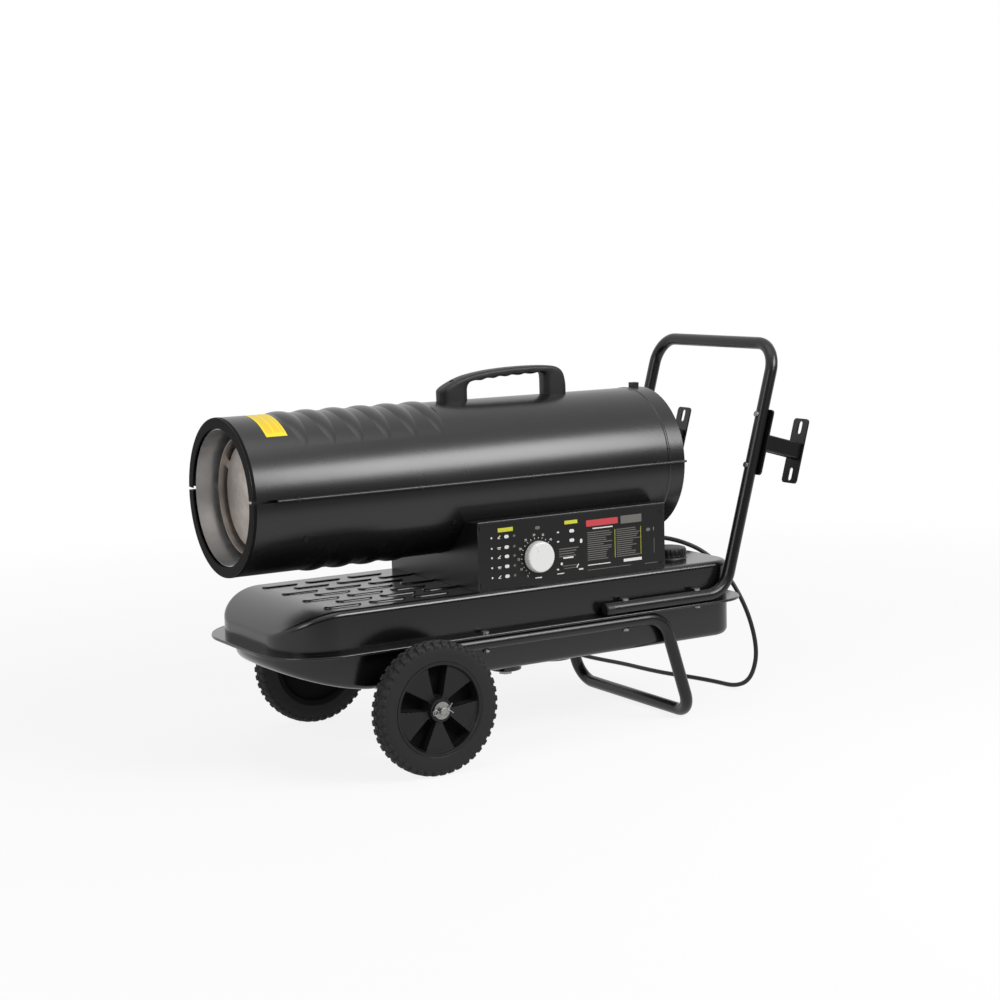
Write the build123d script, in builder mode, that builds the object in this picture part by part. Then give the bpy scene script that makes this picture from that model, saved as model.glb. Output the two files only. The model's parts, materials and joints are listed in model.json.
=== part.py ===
from build123d import *
from math import cos, dist, hypot, pi, radians, sin, sqrt, tan
import os

# Diesel space heater with a round barrel over a wheeled fuel tank. Sizes are millimetres.
# X runs from the hot-air outlet to the push handle, Y across to the right, Z up from the floor.
# The origin is on the floor under the middle of the heater. The control panel faces -Y.

# Clearances, and how far a cutting solid runs past what it cuts
seat_gap = 0.3
running_gap = 0.06
hole_gap = 0.3
close_gap = 0.1
loose_gap = 0.2
fit_gap = 0.05
overrun = 1.0

# Barrel: two half shells of sheet, joined at a ledge a little above the axis
sheet = 1.2
axis_z = 410.0
barrel_r = 118.0
barrel_length = 757.0
barrel_front = -484.0
lip_inner_r = 103.0
seam_rise = 4.0
ledge_out = 6.0
notch_length = 36.0
notch_half = 2.2
seam_screw_r = 1.5
seam_head_r = 2.6
seam_screw_from_front = (70.0, 270.0, 466.0, 702.0)
nut_depth = 1.6
bead_count = 6
bead_pitch = 45.4
bead_height = 3.0
bead_section_r = 40.0
bead_shift = 8.0
first_upper_bead = 99.0
first_lower_bead = 131.0
lower_bead_count = 4

# Hot end
liner_r = 101.5
liner_sheet = 0.9
liner_set_back = 4.0
liner_length = 420.0
chamber_r = 87.5
chamber_sheet = 1.2
chamber_set_back = 35.0
chamber_length = 370.0
baffle_r = 78.0
baffle_set_back = 10.0
baffle_dome = 6.0
baffle_ear_angles = (30.0, 150.0, 270.0)
baffle_ear_overlap = 2.0
burner_hole_r = 41.0
burner_r = 37.0
burner_length = 60.0
burner_flange = 10.0
burner_mouth_r = 14.0
burner_slots = 8
burner_slot_inner = 18.0
burner_slot_width = 3.0
burner_slot_length = 14.0
plate_sheet = 2.0
nozzle_r = 9.0
nozzle_hex_length = 30.0
nozzle_neck_r = 7.8
nozzle_out = 14.0
nozzle_tip_r = 5.5
nozzle_tip_length = 12.0
electrode_y = 12.0
electrode_rise = 17.0
electrode_r = 3.0
electrode_in = 34.0
electrode_out = 26.0
electrode_wire_r = 0.9
electrode_tip_straight = 14.0
electrode_tip_along = 7.0
electrode_tip_drop = 8.0
electrode_tip_bend = 3.0
photocell_y = -20.0
photocell_drop = 14.0
photocell_r = 5.0
photocell_in = 12.0
photocell_length = 34.0
photocell_collar = 6.0
photocell_collar_out = 3.0
air_port_out = 8.0
spacer_r = 6.0
spacer_angle = 28.5
liner_screw_r = 2.0
liner_head_r = 3.6
spacer_from_front = (86.0, 334.0)
support_width = 14.0
support_sheet = 1.6
support_angles = (0.0, 120.0, 240.0)

# Fan, motor and air pump, all on the barrel's axis
fan_from_rear = 240.0
fan_r = 100.0
fan_hub_r = 24.0
fan_depth = 34.0
fan_blades = 5
blade_sheet = 1.6
blade_pitch = 32.0
blade_chord = 50.0
blade_root = 3.0
shaft_r = 5.0
shaft_in_motor = 24.0
shaft_out = 4.0
motor_r = 44.0
motor_length = 92.0
motor_from_fan = 8.0
motor_grooves = 12
motor_groove_depth = 2.0
motor_groove_width = 4.0
motor_groove_in = 8.0
motor_arm_angles = (90.0, 210.0, 330.0)
bracket_arm = 14.0
bracket_sheet = 2.0
pump_r = 40.0
pump_length = 30.0
pump_groove = 3.0
pump_groove_places = (6.0, 14.0, 22.0)
filter_r = 34.0
filter_length = 20.0
filter_edge = 4.0
filter_grooves = 18
filter_groove_depth = 2.0
filter_groove_width = 3.0
filter_groove_from = 4.0
filter_groove_to = 14.0
gauge_r = 20.0
gauge_length = 14.0
gauge_rim = 2.0
guard_set_in = 8.0
guard_bar = 3.0
guard_rings = (22.0, 44.0, 66.0, 88.0)
guard_spokes = 6
guard_spoke_start = 30.0

# Control box under the barrel, with the panel on its left side
box_front = -131.0
box_length = 346.0
box_half_width = 138.0
box_top = 352.5
panel_sheet = 1.6
window_margin = 12.0
panel_corner = 2.0
panel_screw_r = 1.5
panel_head_r = 2.8
panel_head_depth = 1.4
panel_screw_places = ((-125.0, 257.0), (-125.0, 345.0), (209.5, 257.0), (209.5, 340.0))
knob_x = -25.5
knob_z = 292.5
knob_r = 24.5
knob_depth = 14.0
knob_edge = 3.0
knob_notches = 36
knob_notch_r = 2.0
knob_notch_out = 0.8
knob_notch_share = 0.7
knob_mark_place = 0.6
knob_mark_share = 0.5
knob_mark_width = 2.2
knob_mark_rise = 0.8
knob_shaft_r = 3.0
knob_shaft_length = 16.0
knob_shaft_short = 4.0
thermostat_size = (46.0, 24.0, 40.0)
board_x = 130.0
board_y = 60.0
board_size = (110.0, 84.0)
board_sheet = 1.6
board_standoff = 7.0
board_post_in = 6.0
board_post_r = 3.5
capacitor_x = -36.0
capacitor_y = 22.0
capacitor_r = 7.0
capacitor_height = 18.0
board_blocks = (
    (-20.0, -20.0, 30.0, 26.0, 22.0),
    (18.0, -22.0, 20.0, 16.0, 15.0),
    (40.0, 18.0, 14.0, 34.0, 12.0),
    (6.0, 20.0, 18.0, 14.0, 10.0),
)
transformer_x = 18.0
transformer_size = (66.0, 52.0, 26.0)
terminal_height = 6.0
lead_x = 0.0
lead_r = 2.5
lead_bend = 14.0

# Tank: upper and lower pans meeting at a wide flange
flange_z = 186.5
flange_sheet = 2.0
flange_overhang = 20.0
tank_front = -451.0
tank_rear = 353.0
tank_half_width = 147.0
tank_top = 249.0
tank_bottom = 125.0
tank_front_corner = 80.0
tank_rear_corner = 40.0
tank_shoulder = 9.0
nose_length = 87.0
nose_drop = 37.0
tank_undercut = 47.0
undercut_start = 4.0
undercut_bow = (0.36, 0.4)
tank_bottom_edge = 12.0
shoulder_above_flange = 12.0
emboss_rows = 7
emboss_columns = 4
emboss_front = -345.0
emboss_pitch = 74.0
emboss_row_pitch = 36.0
emboss_length = 56.0
emboss_width = 12.0
emboss_height = 1.2
sump_x = -69.0
sump_y = -108.0
sump_r = 25.0
sump_depth = 8.0
plug_hex = 19.0
plug_depth = 5.0
plug_thread_r = 6.0
plug_washer = 1.5
plug_washer_out = 2.0

# Filler behind the box
filler_x = 282.0
filler_y = -56.0
neck_r = 24.0
neck_wall = 3.0
neck_flange_r = 32.0
neck_flange_sheet = 1.5
neck_height = 8.5
neck_drop = 12.0
strainer_depth = 60.0
strainer_rows = 5
strainer_slots = 6
strainer_slot_width = 4.0
strainer_slot_height = 6.0
strainer_first = 6.0
strainer_pitch = 9.0
strainer_out = 1.0
strainer_rim = 1.5
cap_r = 30.5
cap_height = 15.0
cap_wall = 2.5
cap_above_flange = 0.5
cap_edge = 2.0
cap_notch_r = 1.8
cap_notch_out = 0.9
seal_hole_in = 6.0
cap_ribs = 24

# Fuel pickup and hoses
pickup_x = -38.0
pickup_stem_r = 8.0
pickup_stem_drop = 12.0
pickup_pipe_r = 4.0
pickup_pipe_clear = 8.0
pickup_flange = 3.0
pickup_flange_out = 4.0
barb_height = 12.0
fuel_hose_r = 4.5
hose_bend = 18.0
air_hose_r = 3.5
air_hose_x = -44.0
air_hose_y = 62.0
air_hose_z = 272.0
air_hose_bend = 12.0
air_hose_step = 24.0
air_hose_drop = 30.0
air_hose_in = 0.7
hose_hole_gap = 1.0
air_hose_hole_gap = 1.5

# Tubes
tube_r = 10.0
tube_wall = 1.6
handle_y = 160.0
handle_front = 97.0
handle_corner_x = 318.0
handle_top_x = 429.3
handle_top_z = 595.7
handle_bend = 45.0
end_cap_length = 14.0
end_cap_edge = 3.0
end_cap_plug = 8.0
stand_y = 158.0
stand_corner_x = 197.0
stand_foot_x = 248.3
stand_bend = 45.0
stand_foot_bend = 34.0
stand_past_axle = 14.0
bolt_r = 3.0
bolt_head_r = 5.5
bolt_head_depth = 3.5
bolt_y = 159.0
front_bolt_x = -133.0
middle_bolt_x = 122.8
rear_bolt_x = 262.7

# Wheels
wheel_x = -248.0
wheel_r = 100.0
wheel_outer_y = 219.5
tyre_width = 32.0
rim_r = 70.7
hub_r = 17.0
axle_r = 6.0
axle_end = 232.0
axle_chamfer = 1.0
rim_recess = 4.0
rim_wall = 5.0
hub_proud = 2.5
pocket_depth = 19.0
pocket_inner = 18.0
pocket_outer = 63.0
pocket_wide = 32.0
pocket_slope = 80.0
tyre_shoulder = 6.0
tread_slot = 5.0
tread_reach = 9.0
split_pin_r = 1.6
split_eye_r = 4.0
split_pin_out = 4.0
split_wire_r = 1.3
split_leg_length = 9.0
split_leg_splay = 30.0
split_leg_overlap = 1.0
washer_sheet = 1.6
washer_r = 13.0
spokes = 5
tread_depth = 4.0
tread_blocks = 30

# Carry handle
grip_front = -115.0
grip_length = 235.5
grip_half_width = 14.0
grip_rise = 47.0
grip_front_rise = 17.0
grip_slant = (36.0, 11.0)
grip_brow = (66.0, 3.0)
grip_crown = (0.6, 0.6)
grip_back = (21.0, 6.0)
grip_heel = (3.0, 20.0)
grip_rear_rise = 6.0
grip_edge = 5.0
grip_hole_front = 53.0
grip_hole_rear = 188.5
grip_hole_rise = 30.0
grip_hole_climb = 3.0
grip_hole_bend = 8.0
finger_grips = 5
finger_drop = 6.4
finger_climb = 0.5
finger_share = 0.56
grip_screw_x = (-92.0, 100.0)
grip_screw_r = 2.5
grip_screw_length = 14.0
bumper_set_in = 15.0
bumper_size = 12.0
bumper_rise = 8.0

# Cord brackets on the handle legs
bracket_along = 252.0
bracket_height = 108.0
bracket_width = 36.0
bracket_strip_width = 30.0
bracket_reach = 70.5
bracket_thick = 3.0
bracket_rib = 27.0
bracket_rib_corner = 1.0
bracket_hole = (10.0, 22.0)
bracket_corner = 6.0
bracket_hole_step = 39.0
bracket_screw_step = 42.0
bracket_head_r = 4.5
bracket_head_depth = 3.0

# Power cord
cord_r = 3.75
cord_lie_z = 3.8
cord_bend_share = 0.45
cord_straight = 34.0
coil_x = 325.0
coil_y = 376.0
coil_r = 45.0
coil_pitch = 8.3
coil_layer = 8.1
coil_lower_turns = 2.0
coil_reverse = 2.25
coil_climb_turns = 0.5
coil_upper_turns = 1.75
coil_tail = 36.0
coil_sample_count = 700
plug_z = 17.6
plug_r = 17.5
plug_body = 26.0
plug_shoulder = 12.0
plug_neck_length = 16.0
plug_neck_r = 6.5
plug_neck_flare = 1.5
plug_edge = 2.0
pin_r = 2.4
pin_length = 19.0
pin_spacing = 19.0
gland_y = -10.0
gland_z = 278.0
gland_r = 10.0
gland_thread_r = 8.0
gland_length = 28.0
gland_nut = 4.0
gland_nut_out = 2.0
gland_edge = 3.0
gland_hex_r = 12.5
gland_hex_depth = 9.0

# Places that follow from the sizes above
barrel_rear = barrel_front + barrel_length
seam_z = axis_z + seam_rise
box_rear = box_front + box_length
box_floor = tank_top + seat_gap
panel_y = -box_half_width - seat_gap
flange_top = flange_z + flange_sheet
flange_bottom = flange_z - flange_sheet
flange_y = tank_half_width + flange_overhang
handle_tube_z = flange_top + tube_r + close_gap
stand_tube_z = flange_bottom - tube_r - close_gap
barrel_inner_r = barrel_r - sheet
spacer_stations = [barrel_front + d for d in spacer_from_front]
liner_front = barrel_front + liner_set_back
liner_rear = liner_front + liner_length
chamber_front = barrel_front + chamber_set_back
chamber_rear = chamber_front + chamber_length
electrode_z = axis_z + electrode_rise
photocell_z = axis_z - photocell_drop
air_port_x = chamber_rear + air_port_out
fan_front = barrel_rear - fan_from_rear
motor_front = fan_front + fan_depth + motor_from_fan
motor_rear = motor_front + motor_length
pump_rear = motor_rear + pump_length
filter_rear = pump_rear + filter_length
ledge_out_y = sqrt(barrel_r**2 - seam_rise**2) + ledge_out
ledge_in_y = sqrt(barrel_inner_r**2 - (seam_rise + sheet) ** 2)
ledge_screw_y = ledge_out_y - 0.5 * ledge_out
ledge_screw_x = [barrel_front + d for d in seam_screw_from_front]
barrel_floor_holes = (
    (lead_x, -electrode_y, lead_r + hose_hole_gap),
    (lead_x, electrode_y, lead_r + hose_hole_gap),
    (pickup_x, 0.0, fuel_hose_r + hose_hole_gap),
    (air_hose_x, -air_hose_y, air_hose_r + air_hose_hole_gap),
    (motor_rear + 0.5 * pump_length, 0.0, air_hose_r + hose_hole_gap),
)

standing = (Align.CENTER, Align.CENTER, Align.MIN)
os.makedirs("parts", exist_ok=True)


def keep(builder, name):
    """Label a finished piece and write it to its own file."""
    builder.part.label = name
    export_step(builder.part, f"parts/{name}.step")


def plane_at_y(y):
    """A sketch plane across the heater: its local axes are X and Z, and it faces -Y."""
    return Plane(origin=(0, y, 0), x_dir=(1, 0, 0), z_dir=(0, -1, 0))


def disc_along_x(x, length, radius, y=0.0, z=axis_z, mode=Mode.ADD):
    """A round bar along X, inside the builder that is open."""
    with BuildSketch(Plane.YZ.offset(x)) as section:
        with Locations((y, z)):
            Circle(radius)
    extrude(section.sketch, amount=length, mode=mode)


def disc_along_y(y, length, radius, x, z, mode=Mode.ADD):
    """A round bar along +Y, inside the builder that is open."""
    with BuildSketch(plane_at_y(y)) as section:
        with Locations((x, z)):
            Circle(radius)
    extrude(section.sketch, amount=-length, mode=mode)


def disc_along_z(z, length, radius, x, y, mode=Mode.ADD):
    """A round bar along +Z, inside the builder that is open."""
    with BuildSketch(Plane.XY.offset(z)) as section:
        with Locations((x, y)):
            Circle(radius)
    extrude(section.sketch, amount=length, mode=mode)


# Barrel shells
def beaded_drum(radius, start, end, bead_xs, shift, thinner):
    """A drum along X. Each bead is a ring set off-centre, so that it fades out down the sides."""
    ring_r = barrel_r + bead_height - abs(shift) - bead_section_r
    with BuildPart() as drum:
        disc_along_x(start, end - start, radius)
        for x in bead_xs:
            with Locations(Location((x, 0, axis_z + shift), (0, 90, 0))):
                Torus(ring_r, bead_section_r - thinner)
    return drum.part


def half_shell(bead_xs, shift, side, name):
    """Half of the barrel: side is 1 above the seam and -1 below it."""
    outer = beaded_drum(barrel_r, barrel_front, barrel_rear, bead_xs, shift, 0.0)
    inner = beaded_drum(barrel_inner_r, barrel_front + sheet, barrel_rear + sheet, bead_xs, shift, sheet)
    ledge_start = barrel_front + notch_length
    ledge_length = barrel_rear - ledge_start
    with BuildPart() as shell:
        add(outer)
        add(inner, mode=Mode.SUBTRACT)
        disc_along_x(barrel_front - sheet, 3 * sheet, lip_inner_r, mode=Mode.SUBTRACT)
        split(bisect_by=Plane.XY.offset(seam_z), keep=Keep.TOP if side > 0 else Keep.BOTTOM)
        # The seam's edges stop short at the front and leave a slot on each side
        with BuildSketch(Plane.YZ.offset(barrel_front - sheet)):
            with Locations((0, seam_z)):
                Rectangle(2 * ledge_out_y, 2 * notch_half)
        extrude(amount=notch_length + sheet, mode=Mode.SUBTRACT)
        # Ledges that the seam screws go through
        with BuildSketch(Plane.YZ.offset(ledge_start)):
            for across in (-1, 1):
                with Locations((across * 0.5 * (ledge_in_y + ledge_out_y), seam_z + side * 0.5 * sheet)):
                    Rectangle(ledge_out_y - ledge_in_y, sheet)
        extrude(amount=ledge_length)
        for across in (-1, 1):
            for x in ledge_screw_x:
                y = across * ledge_screw_y
                disc_along_z(seam_z - 2 * sheet, 4 * sheet, seam_screw_r + close_gap, x, y, Mode.SUBTRACT)
        if side > 0:
            for x in grip_screw_x:
                disc_along_z(axis_z, 2 * barrel_r, grip_screw_r + loose_gap, x, 0, Mode.SUBTRACT)
        else:
            for x, y, r in barrel_floor_holes:
                disc_along_z(axis_z - 2 * barrel_r, 2 * barrel_r, r, x, y, Mode.SUBTRACT)
            for x in spacer_stations:
                for angle in (-spacer_angle, spacer_angle - 180):
                    with Locations(radial_place(x, angle, liner_r)):
                        Cylinder(liner_screw_r + loose_gap, barrel_r, align=standing, mode=Mode.SUBTRACT)
    keep(shell, name)
    return shell


def radial_place(x, angle, radius):
    """A place on the barrel's axis plane, turned so that its local Z points outwards at this angle."""
    turn = radians(angle)
    centre = Vector(x, radius * cos(turn), axis_z + radius * sin(turn))
    return Plane(origin=centre, x_dir=(1, 0, 0), z_dir=(0, cos(turn), sin(turn))).location


upper_bead_xs = [barrel_front + first_upper_bead + bead_pitch * i for i in range(bead_count)]
lower_bead_xs = [barrel_front + first_lower_bead + bead_pitch * i for i in range(lower_bead_count)]
upper_shell = half_shell(upper_bead_xs, bead_shift, 1, "upper_shell")
lower_shell = half_shell(lower_bead_xs, -bead_shift, -1, "lower_shell")

liner_screw_angles = (-spacer_angle, spacer_angle - 180)
liner_screw_length = barrel_r - liner_r + liner_sheet + nut_depth + loose_gap + seat_gap
with BuildPart() as shell_screws:
    for across in (-1, 1):
        for x in ledge_screw_x:
            low = seam_z - sheet - nut_depth
            disc_along_z(low, seam_z + sheet - low, seam_screw_r, x, across * ledge_screw_y)
            disc_along_z(seam_z + sheet, nut_depth, seam_head_r, x, across * ledge_screw_y)
            disc_along_z(seam_z - sheet - nut_depth, nut_depth, seam_head_r, x, across * ledge_screw_y)
    for x in spacer_stations:
        for angle in liner_screw_angles:
            with Locations(radial_place(x, angle, liner_r - liner_sheet - nut_depth - loose_gap)):
                Cylinder(liner_screw_r, liner_screw_length, align=standing)
                Cylinder(liner_head_r, nut_depth, align=standing)
            with Locations(radial_place(x, angle, barrel_r + close_gap)):
                Cylinder(liner_head_r, nut_depth, align=standing)
keep(shell_screws, "shell_screws")

# Liner, its spacers, and the combustion chamber inside it
with BuildPart() as inner_liner:
    disc_along_x(liner_front, liner_length, liner_r)
    disc_along_x(liner_front - overrun, liner_length + 2 * overrun, liner_r - liner_sheet, mode=Mode.SUBTRACT)
    for x in spacer_stations:
        for angle in liner_screw_angles:
            with Locations(radial_place(x, angle, chamber_r)):
                Cylinder(liner_screw_r + loose_gap, barrel_r - chamber_r, align=standing, mode=Mode.SUBTRACT)
keep(inner_liner, "inner_liner")

with BuildPart() as liner_spacers:
    spacer_length = sqrt(barrel_inner_r**2 - spacer_r**2) - liner_r - 2 * close_gap
    for x in spacer_stations:
        for angle in liner_screw_angles:
            with Locations(radial_place(x, angle, liner_r + close_gap)):
                Cylinder(spacer_r, spacer_length, align=standing)
                Cylinder(liner_screw_r + loose_gap, spacer_length, align=standing, mode=Mode.SUBTRACT)
keep(liner_spacers, "liner_spacers")

with BuildPart() as combustion_chamber:
    disc_along_x(chamber_front, chamber_length, chamber_r)
    hollow_length = chamber_length + overrun - chamber_sheet
    disc_along_x(chamber_front - overrun, hollow_length, chamber_r - chamber_sheet, mode=Mode.SUBTRACT)
    disc_along_x(chamber_rear - 2 * chamber_sheet, 3 * chamber_sheet, burner_hole_r, mode=Mode.SUBTRACT)
keep(combustion_chamber, "combustion_chamber")

with BuildPart() as chamber_supports:
    foot_rise = liner_r - liner_sheet - chamber_r - 2 * seat_gap
    for x in (chamber_front + support_width, chamber_rear - 2 * support_width):
        for angle in support_angles:
            with Locations(radial_place(x, angle, chamber_r + close_gap)):
                Box(support_width, support_width, support_sheet, align=standing)
                Box(support_width, support_sheet, foot_rise, align=standing)
            with Locations(radial_place(x, angle, chamber_r + close_gap + foot_rise - support_sheet)):
                Box(support_width, support_width, support_sheet, align=standing)
keep(chamber_supports, "chamber_supports")

with BuildPart() as flame_baffle:
    baffle_x = chamber_front + baffle_set_back
    dome_r = (baffle_r**2 + baffle_dome**2) / (2 * baffle_dome)
    with Locations((baffle_x - baffle_dome + dome_r, 0, axis_z)):
        Sphere(dome_r)
    disc_along_x(baffle_x - 2 * baffle_dome, 2 * baffle_dome + chamber_sheet, baffle_r, mode=Mode.INTERSECT)
    with Locations((baffle_x - baffle_dome + dome_r, 0, axis_z)):
        Sphere(dome_r - chamber_sheet, mode=Mode.SUBTRACT)
    ear_length = chamber_r - chamber_sheet - 2 * loose_gap - baffle_r + baffle_ear_overlap
    for angle in baffle_ear_angles:
        with Locations(radial_place(baffle_x + 0.5 * chamber_sheet, angle, baffle_r - baffle_ear_overlap)):
            Box(chamber_sheet, support_width, ear_length, align=standing)
keep(flame_baffle, "flame_baffle")

# Burner head through the chamber's rear plate, with the nozzle, electrodes and photocell in it
burner_front = chamber_rear - burner_length
with BuildPart() as burner_head:
    disc_along_x(burner_front, burner_length + plate_sheet, burner_r)
    hollow = (burner_front + plate_sheet, burner_length - plate_sheet)
    disc_along_x(*hollow, burner_r - plate_sheet, mode=Mode.SUBTRACT)
    disc_along_x(chamber_rear, plate_sheet, burner_hole_r + burner_flange)
    disc_along_x(burner_front - overrun, plate_sheet + 2 * overrun, burner_mouth_r, mode=Mode.SUBTRACT)
    for slot in range(burner_slots):
        with Locations(radial_place(burner_front, 360 / burner_slots * slot, burner_slot_inner)):
            Box(3 * plate_sheet, burner_slot_width, burner_slot_length, align=standing, mode=Mode.SUBTRACT)
    through = (chamber_rear - overrun, plate_sheet + 2 * overrun)
    disc_along_x(*through, nozzle_neck_r + loose_gap, mode=Mode.SUBTRACT)
    for across in (-1, 1):
        disc_along_x(*through, electrode_r + close_gap, across * electrode_y, electrode_z, Mode.SUBTRACT)
    disc_along_x(*through, photocell_r + close_gap, photocell_y, photocell_z, Mode.SUBTRACT)
keep(burner_head, "burner_head")

nozzle_rear = chamber_rear + nozzle_out
nozzle_hex_front = chamber_rear - nozzle_hex_length
with BuildPart() as fuel_nozzle:
    with BuildSketch(Plane.YZ.offset(nozzle_hex_front)):
        with Locations((0, axis_z)):
            RegularPolygon(nozzle_r, 6)
    extrude(amount=nozzle_hex_length - close_gap)
    disc_along_x(nozzle_hex_front - nozzle_tip_length, nozzle_tip_length, nozzle_tip_r)
    disc_along_x(chamber_rear - close_gap, nozzle_out + close_gap, nozzle_neck_r)
keep(fuel_nozzle, "fuel_nozzle")

lead_start = chamber_rear + electrode_out
tip_start = chamber_rear - electrode_in + overrun
tip_corner = tip_start - electrode_tip_straight
with BuildPart() as spark_electrodes:
    for across in (-1, 1):
        rod_length = electrode_in + electrode_out
        disc_along_x(chamber_rear - electrode_in, rod_length, electrode_r, across * electrode_y, electrode_z)
        with BuildLine(Plane.XZ.offset(-across * electrode_y)):
            tip = FilletPolyline(
                (tip_start, electrode_z),
                (tip_corner, electrode_z),
                (tip_corner - electrode_tip_along, electrode_z - electrode_tip_drop),
                radius=electrode_tip_bend,
            )
        with BuildSketch(Plane(origin=tip @ 0, z_dir=tip % 0)):
            Circle(electrode_wire_r)
        sweep(path=tip)
keep(spark_electrodes, "spark_electrodes")

with BuildPart() as photocell:
    collar_x = chamber_rear + plate_sheet + close_gap
    disc_along_x(chamber_rear - photocell_in, photocell_length, photocell_r, photocell_y, photocell_z)
    disc_along_x(collar_x, photocell_collar, photocell_r + photocell_collar_out, photocell_y, photocell_z)
keep(photocell, "photocell")

# Fan, shaft, motor, bracket and air pump
fan_middle = fan_front + 0.5 * fan_depth
with BuildPart() as fan:
    disc_along_x(fan_front, fan_depth, fan_hub_r)
    for blade in range(fan_blades):
        turned = radial_place(fan_middle, 360 / fan_blades * blade + 90, fan_hub_r - blade_root)
        with Locations(turned * Location((0, 0, 0), (0, 0, 90 - blade_pitch))):
            Box(blade_chord, blade_sheet, fan_r - fan_hub_r + blade_root, align=standing)
    disc_along_x(fan_front - overrun, fan_depth + 2 * overrun, shaft_r + fit_gap, mode=Mode.SUBTRACT)
keep(fan, "fan")

with BuildPart() as fan_shaft:
    shaft_end = motor_front + shaft_in_motor - overrun
    disc_along_x(fan_front - shaft_out, shaft_end - fan_front + shaft_out, shaft_r)
keep(fan_shaft, "fan_shaft")

with BuildPart() as motor:
    disc_along_x(motor_front, motor_length, motor_r)
    disc_along_x(motor_front - overrun, shaft_in_motor + overrun, shaft_r + running_gap, mode=Mode.SUBTRACT)
    groove_length = motor_length - 2 * motor_groove_in
    for groove in range(motor_grooves):
        angle = 360 / motor_grooves * (groove + 0.5)
        with Locations(radial_place(motor_front + 0.5 * motor_length, angle, motor_r - motor_groove_depth)):
            Box(groove_length, motor_groove_width, 2 * motor_groove_depth, align=standing, mode=Mode.SUBTRACT)
keep(motor, "motor")

with BuildPart() as motor_bracket:
    bracket_x = motor_front + 0.5 * motor_length
    disc_along_x(bracket_x - 0.5 * bracket_arm, bracket_arm, motor_r + seat_gap + bracket_sheet)
    disc_along_x(bracket_x - bracket_arm, 2 * bracket_arm, motor_r + seat_gap, mode=Mode.SUBTRACT)
    arm_root = motor_r + seat_gap + 0.5 * bracket_sheet
    arm_end = barrel_inner_r - 2 * seat_gap
    for angle in motor_arm_angles:
        with Locations(radial_place(bracket_x, angle, arm_root)):
            Box(bracket_arm, bracket_sheet, arm_end - arm_root, align=standing)
        with Locations(radial_place(bracket_x, angle, arm_end - bracket_sheet)):
            Box(bracket_arm, bracket_arm, bracket_sheet, align=standing)
keep(motor_bracket, "motor_bracket")

with BuildPart() as air_pump:
    disc_along_x(motor_rear, pump_length, pump_r)
    for place in pump_groove_places:
        with BuildSketch(Plane.YZ.offset(motor_rear + place)):
            with Locations((0, axis_z)):
                Circle(pump_r + overrun)
                Circle(pump_r - pump_groove, mode=Mode.SUBTRACT)
        extrude(amount=pump_groove, mode=Mode.SUBTRACT)
keep(air_pump, "air_pump")

with BuildPart() as pump_filter_cover:
    disc_along_x(pump_rear, filter_length, filter_r)
    fillet(pump_filter_cover.edges().filter_by(GeomType.CIRCLE).sort_by(Axis.X)[-1], filter_edge)
    groove_x = pump_rear + 0.5 * (filter_groove_from + filter_groove_to)
    groove_size = (filter_groove_to - filter_groove_from, filter_groove_width, 2 * filter_groove_depth)
    for groove in range(filter_grooves):
        with Locations(radial_place(groove_x, 360 / filter_grooves * groove, filter_r - filter_groove_depth)):
            Box(*groove_size, align=standing, mode=Mode.SUBTRACT)
keep(pump_filter_cover, "pump_filter_cover")

with BuildPart() as pressure_gauge:
    disc_along_x(filter_rear, gauge_length, gauge_r)
    glass_x = filter_rear + gauge_length - gauge_rim
    disc_along_x(glass_x, gauge_rim + overrun, gauge_r - gauge_rim, mode=Mode.SUBTRACT)
keep(pressure_gauge, "pressure_gauge")

with BuildPart() as rear_guard:
    guard_outer_r = barrel_inner_r - seat_gap
    with BuildSketch(Plane.YZ.offset(barrel_rear - guard_set_in)):
        with Locations((0, axis_z)):
            for ring in (*guard_rings, guard_outer_r):
                Circle(ring)
                Circle(ring - guard_bar, mode=Mode.SUBTRACT)
                with PolarLocations(0, guard_spokes, start_angle=guard_spoke_start):
                    with Locations((0.5 * (guard_rings[0] + ring - guard_bar), 0)):
                        Rectangle(max(ring - guard_bar - guard_rings[0], guard_bar), guard_bar)
    extrude(amount=guard_bar)
keep(rear_guard, "rear_guard")

# Fittings on top of the barrel
with BuildPart() as top_bumper:
    with Locations((barrel_rear - bumper_set_in, 0, axis_z)):
        Box(bumper_size, bumper_size, barrel_r + bumper_rise, align=standing)
    disc_along_x(barrel_rear - 4 * bumper_set_in, 6 * bumper_set_in, barrel_r + close_gap, mode=Mode.SUBTRACT)
keep(top_bumper, "top_bumper")

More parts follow.
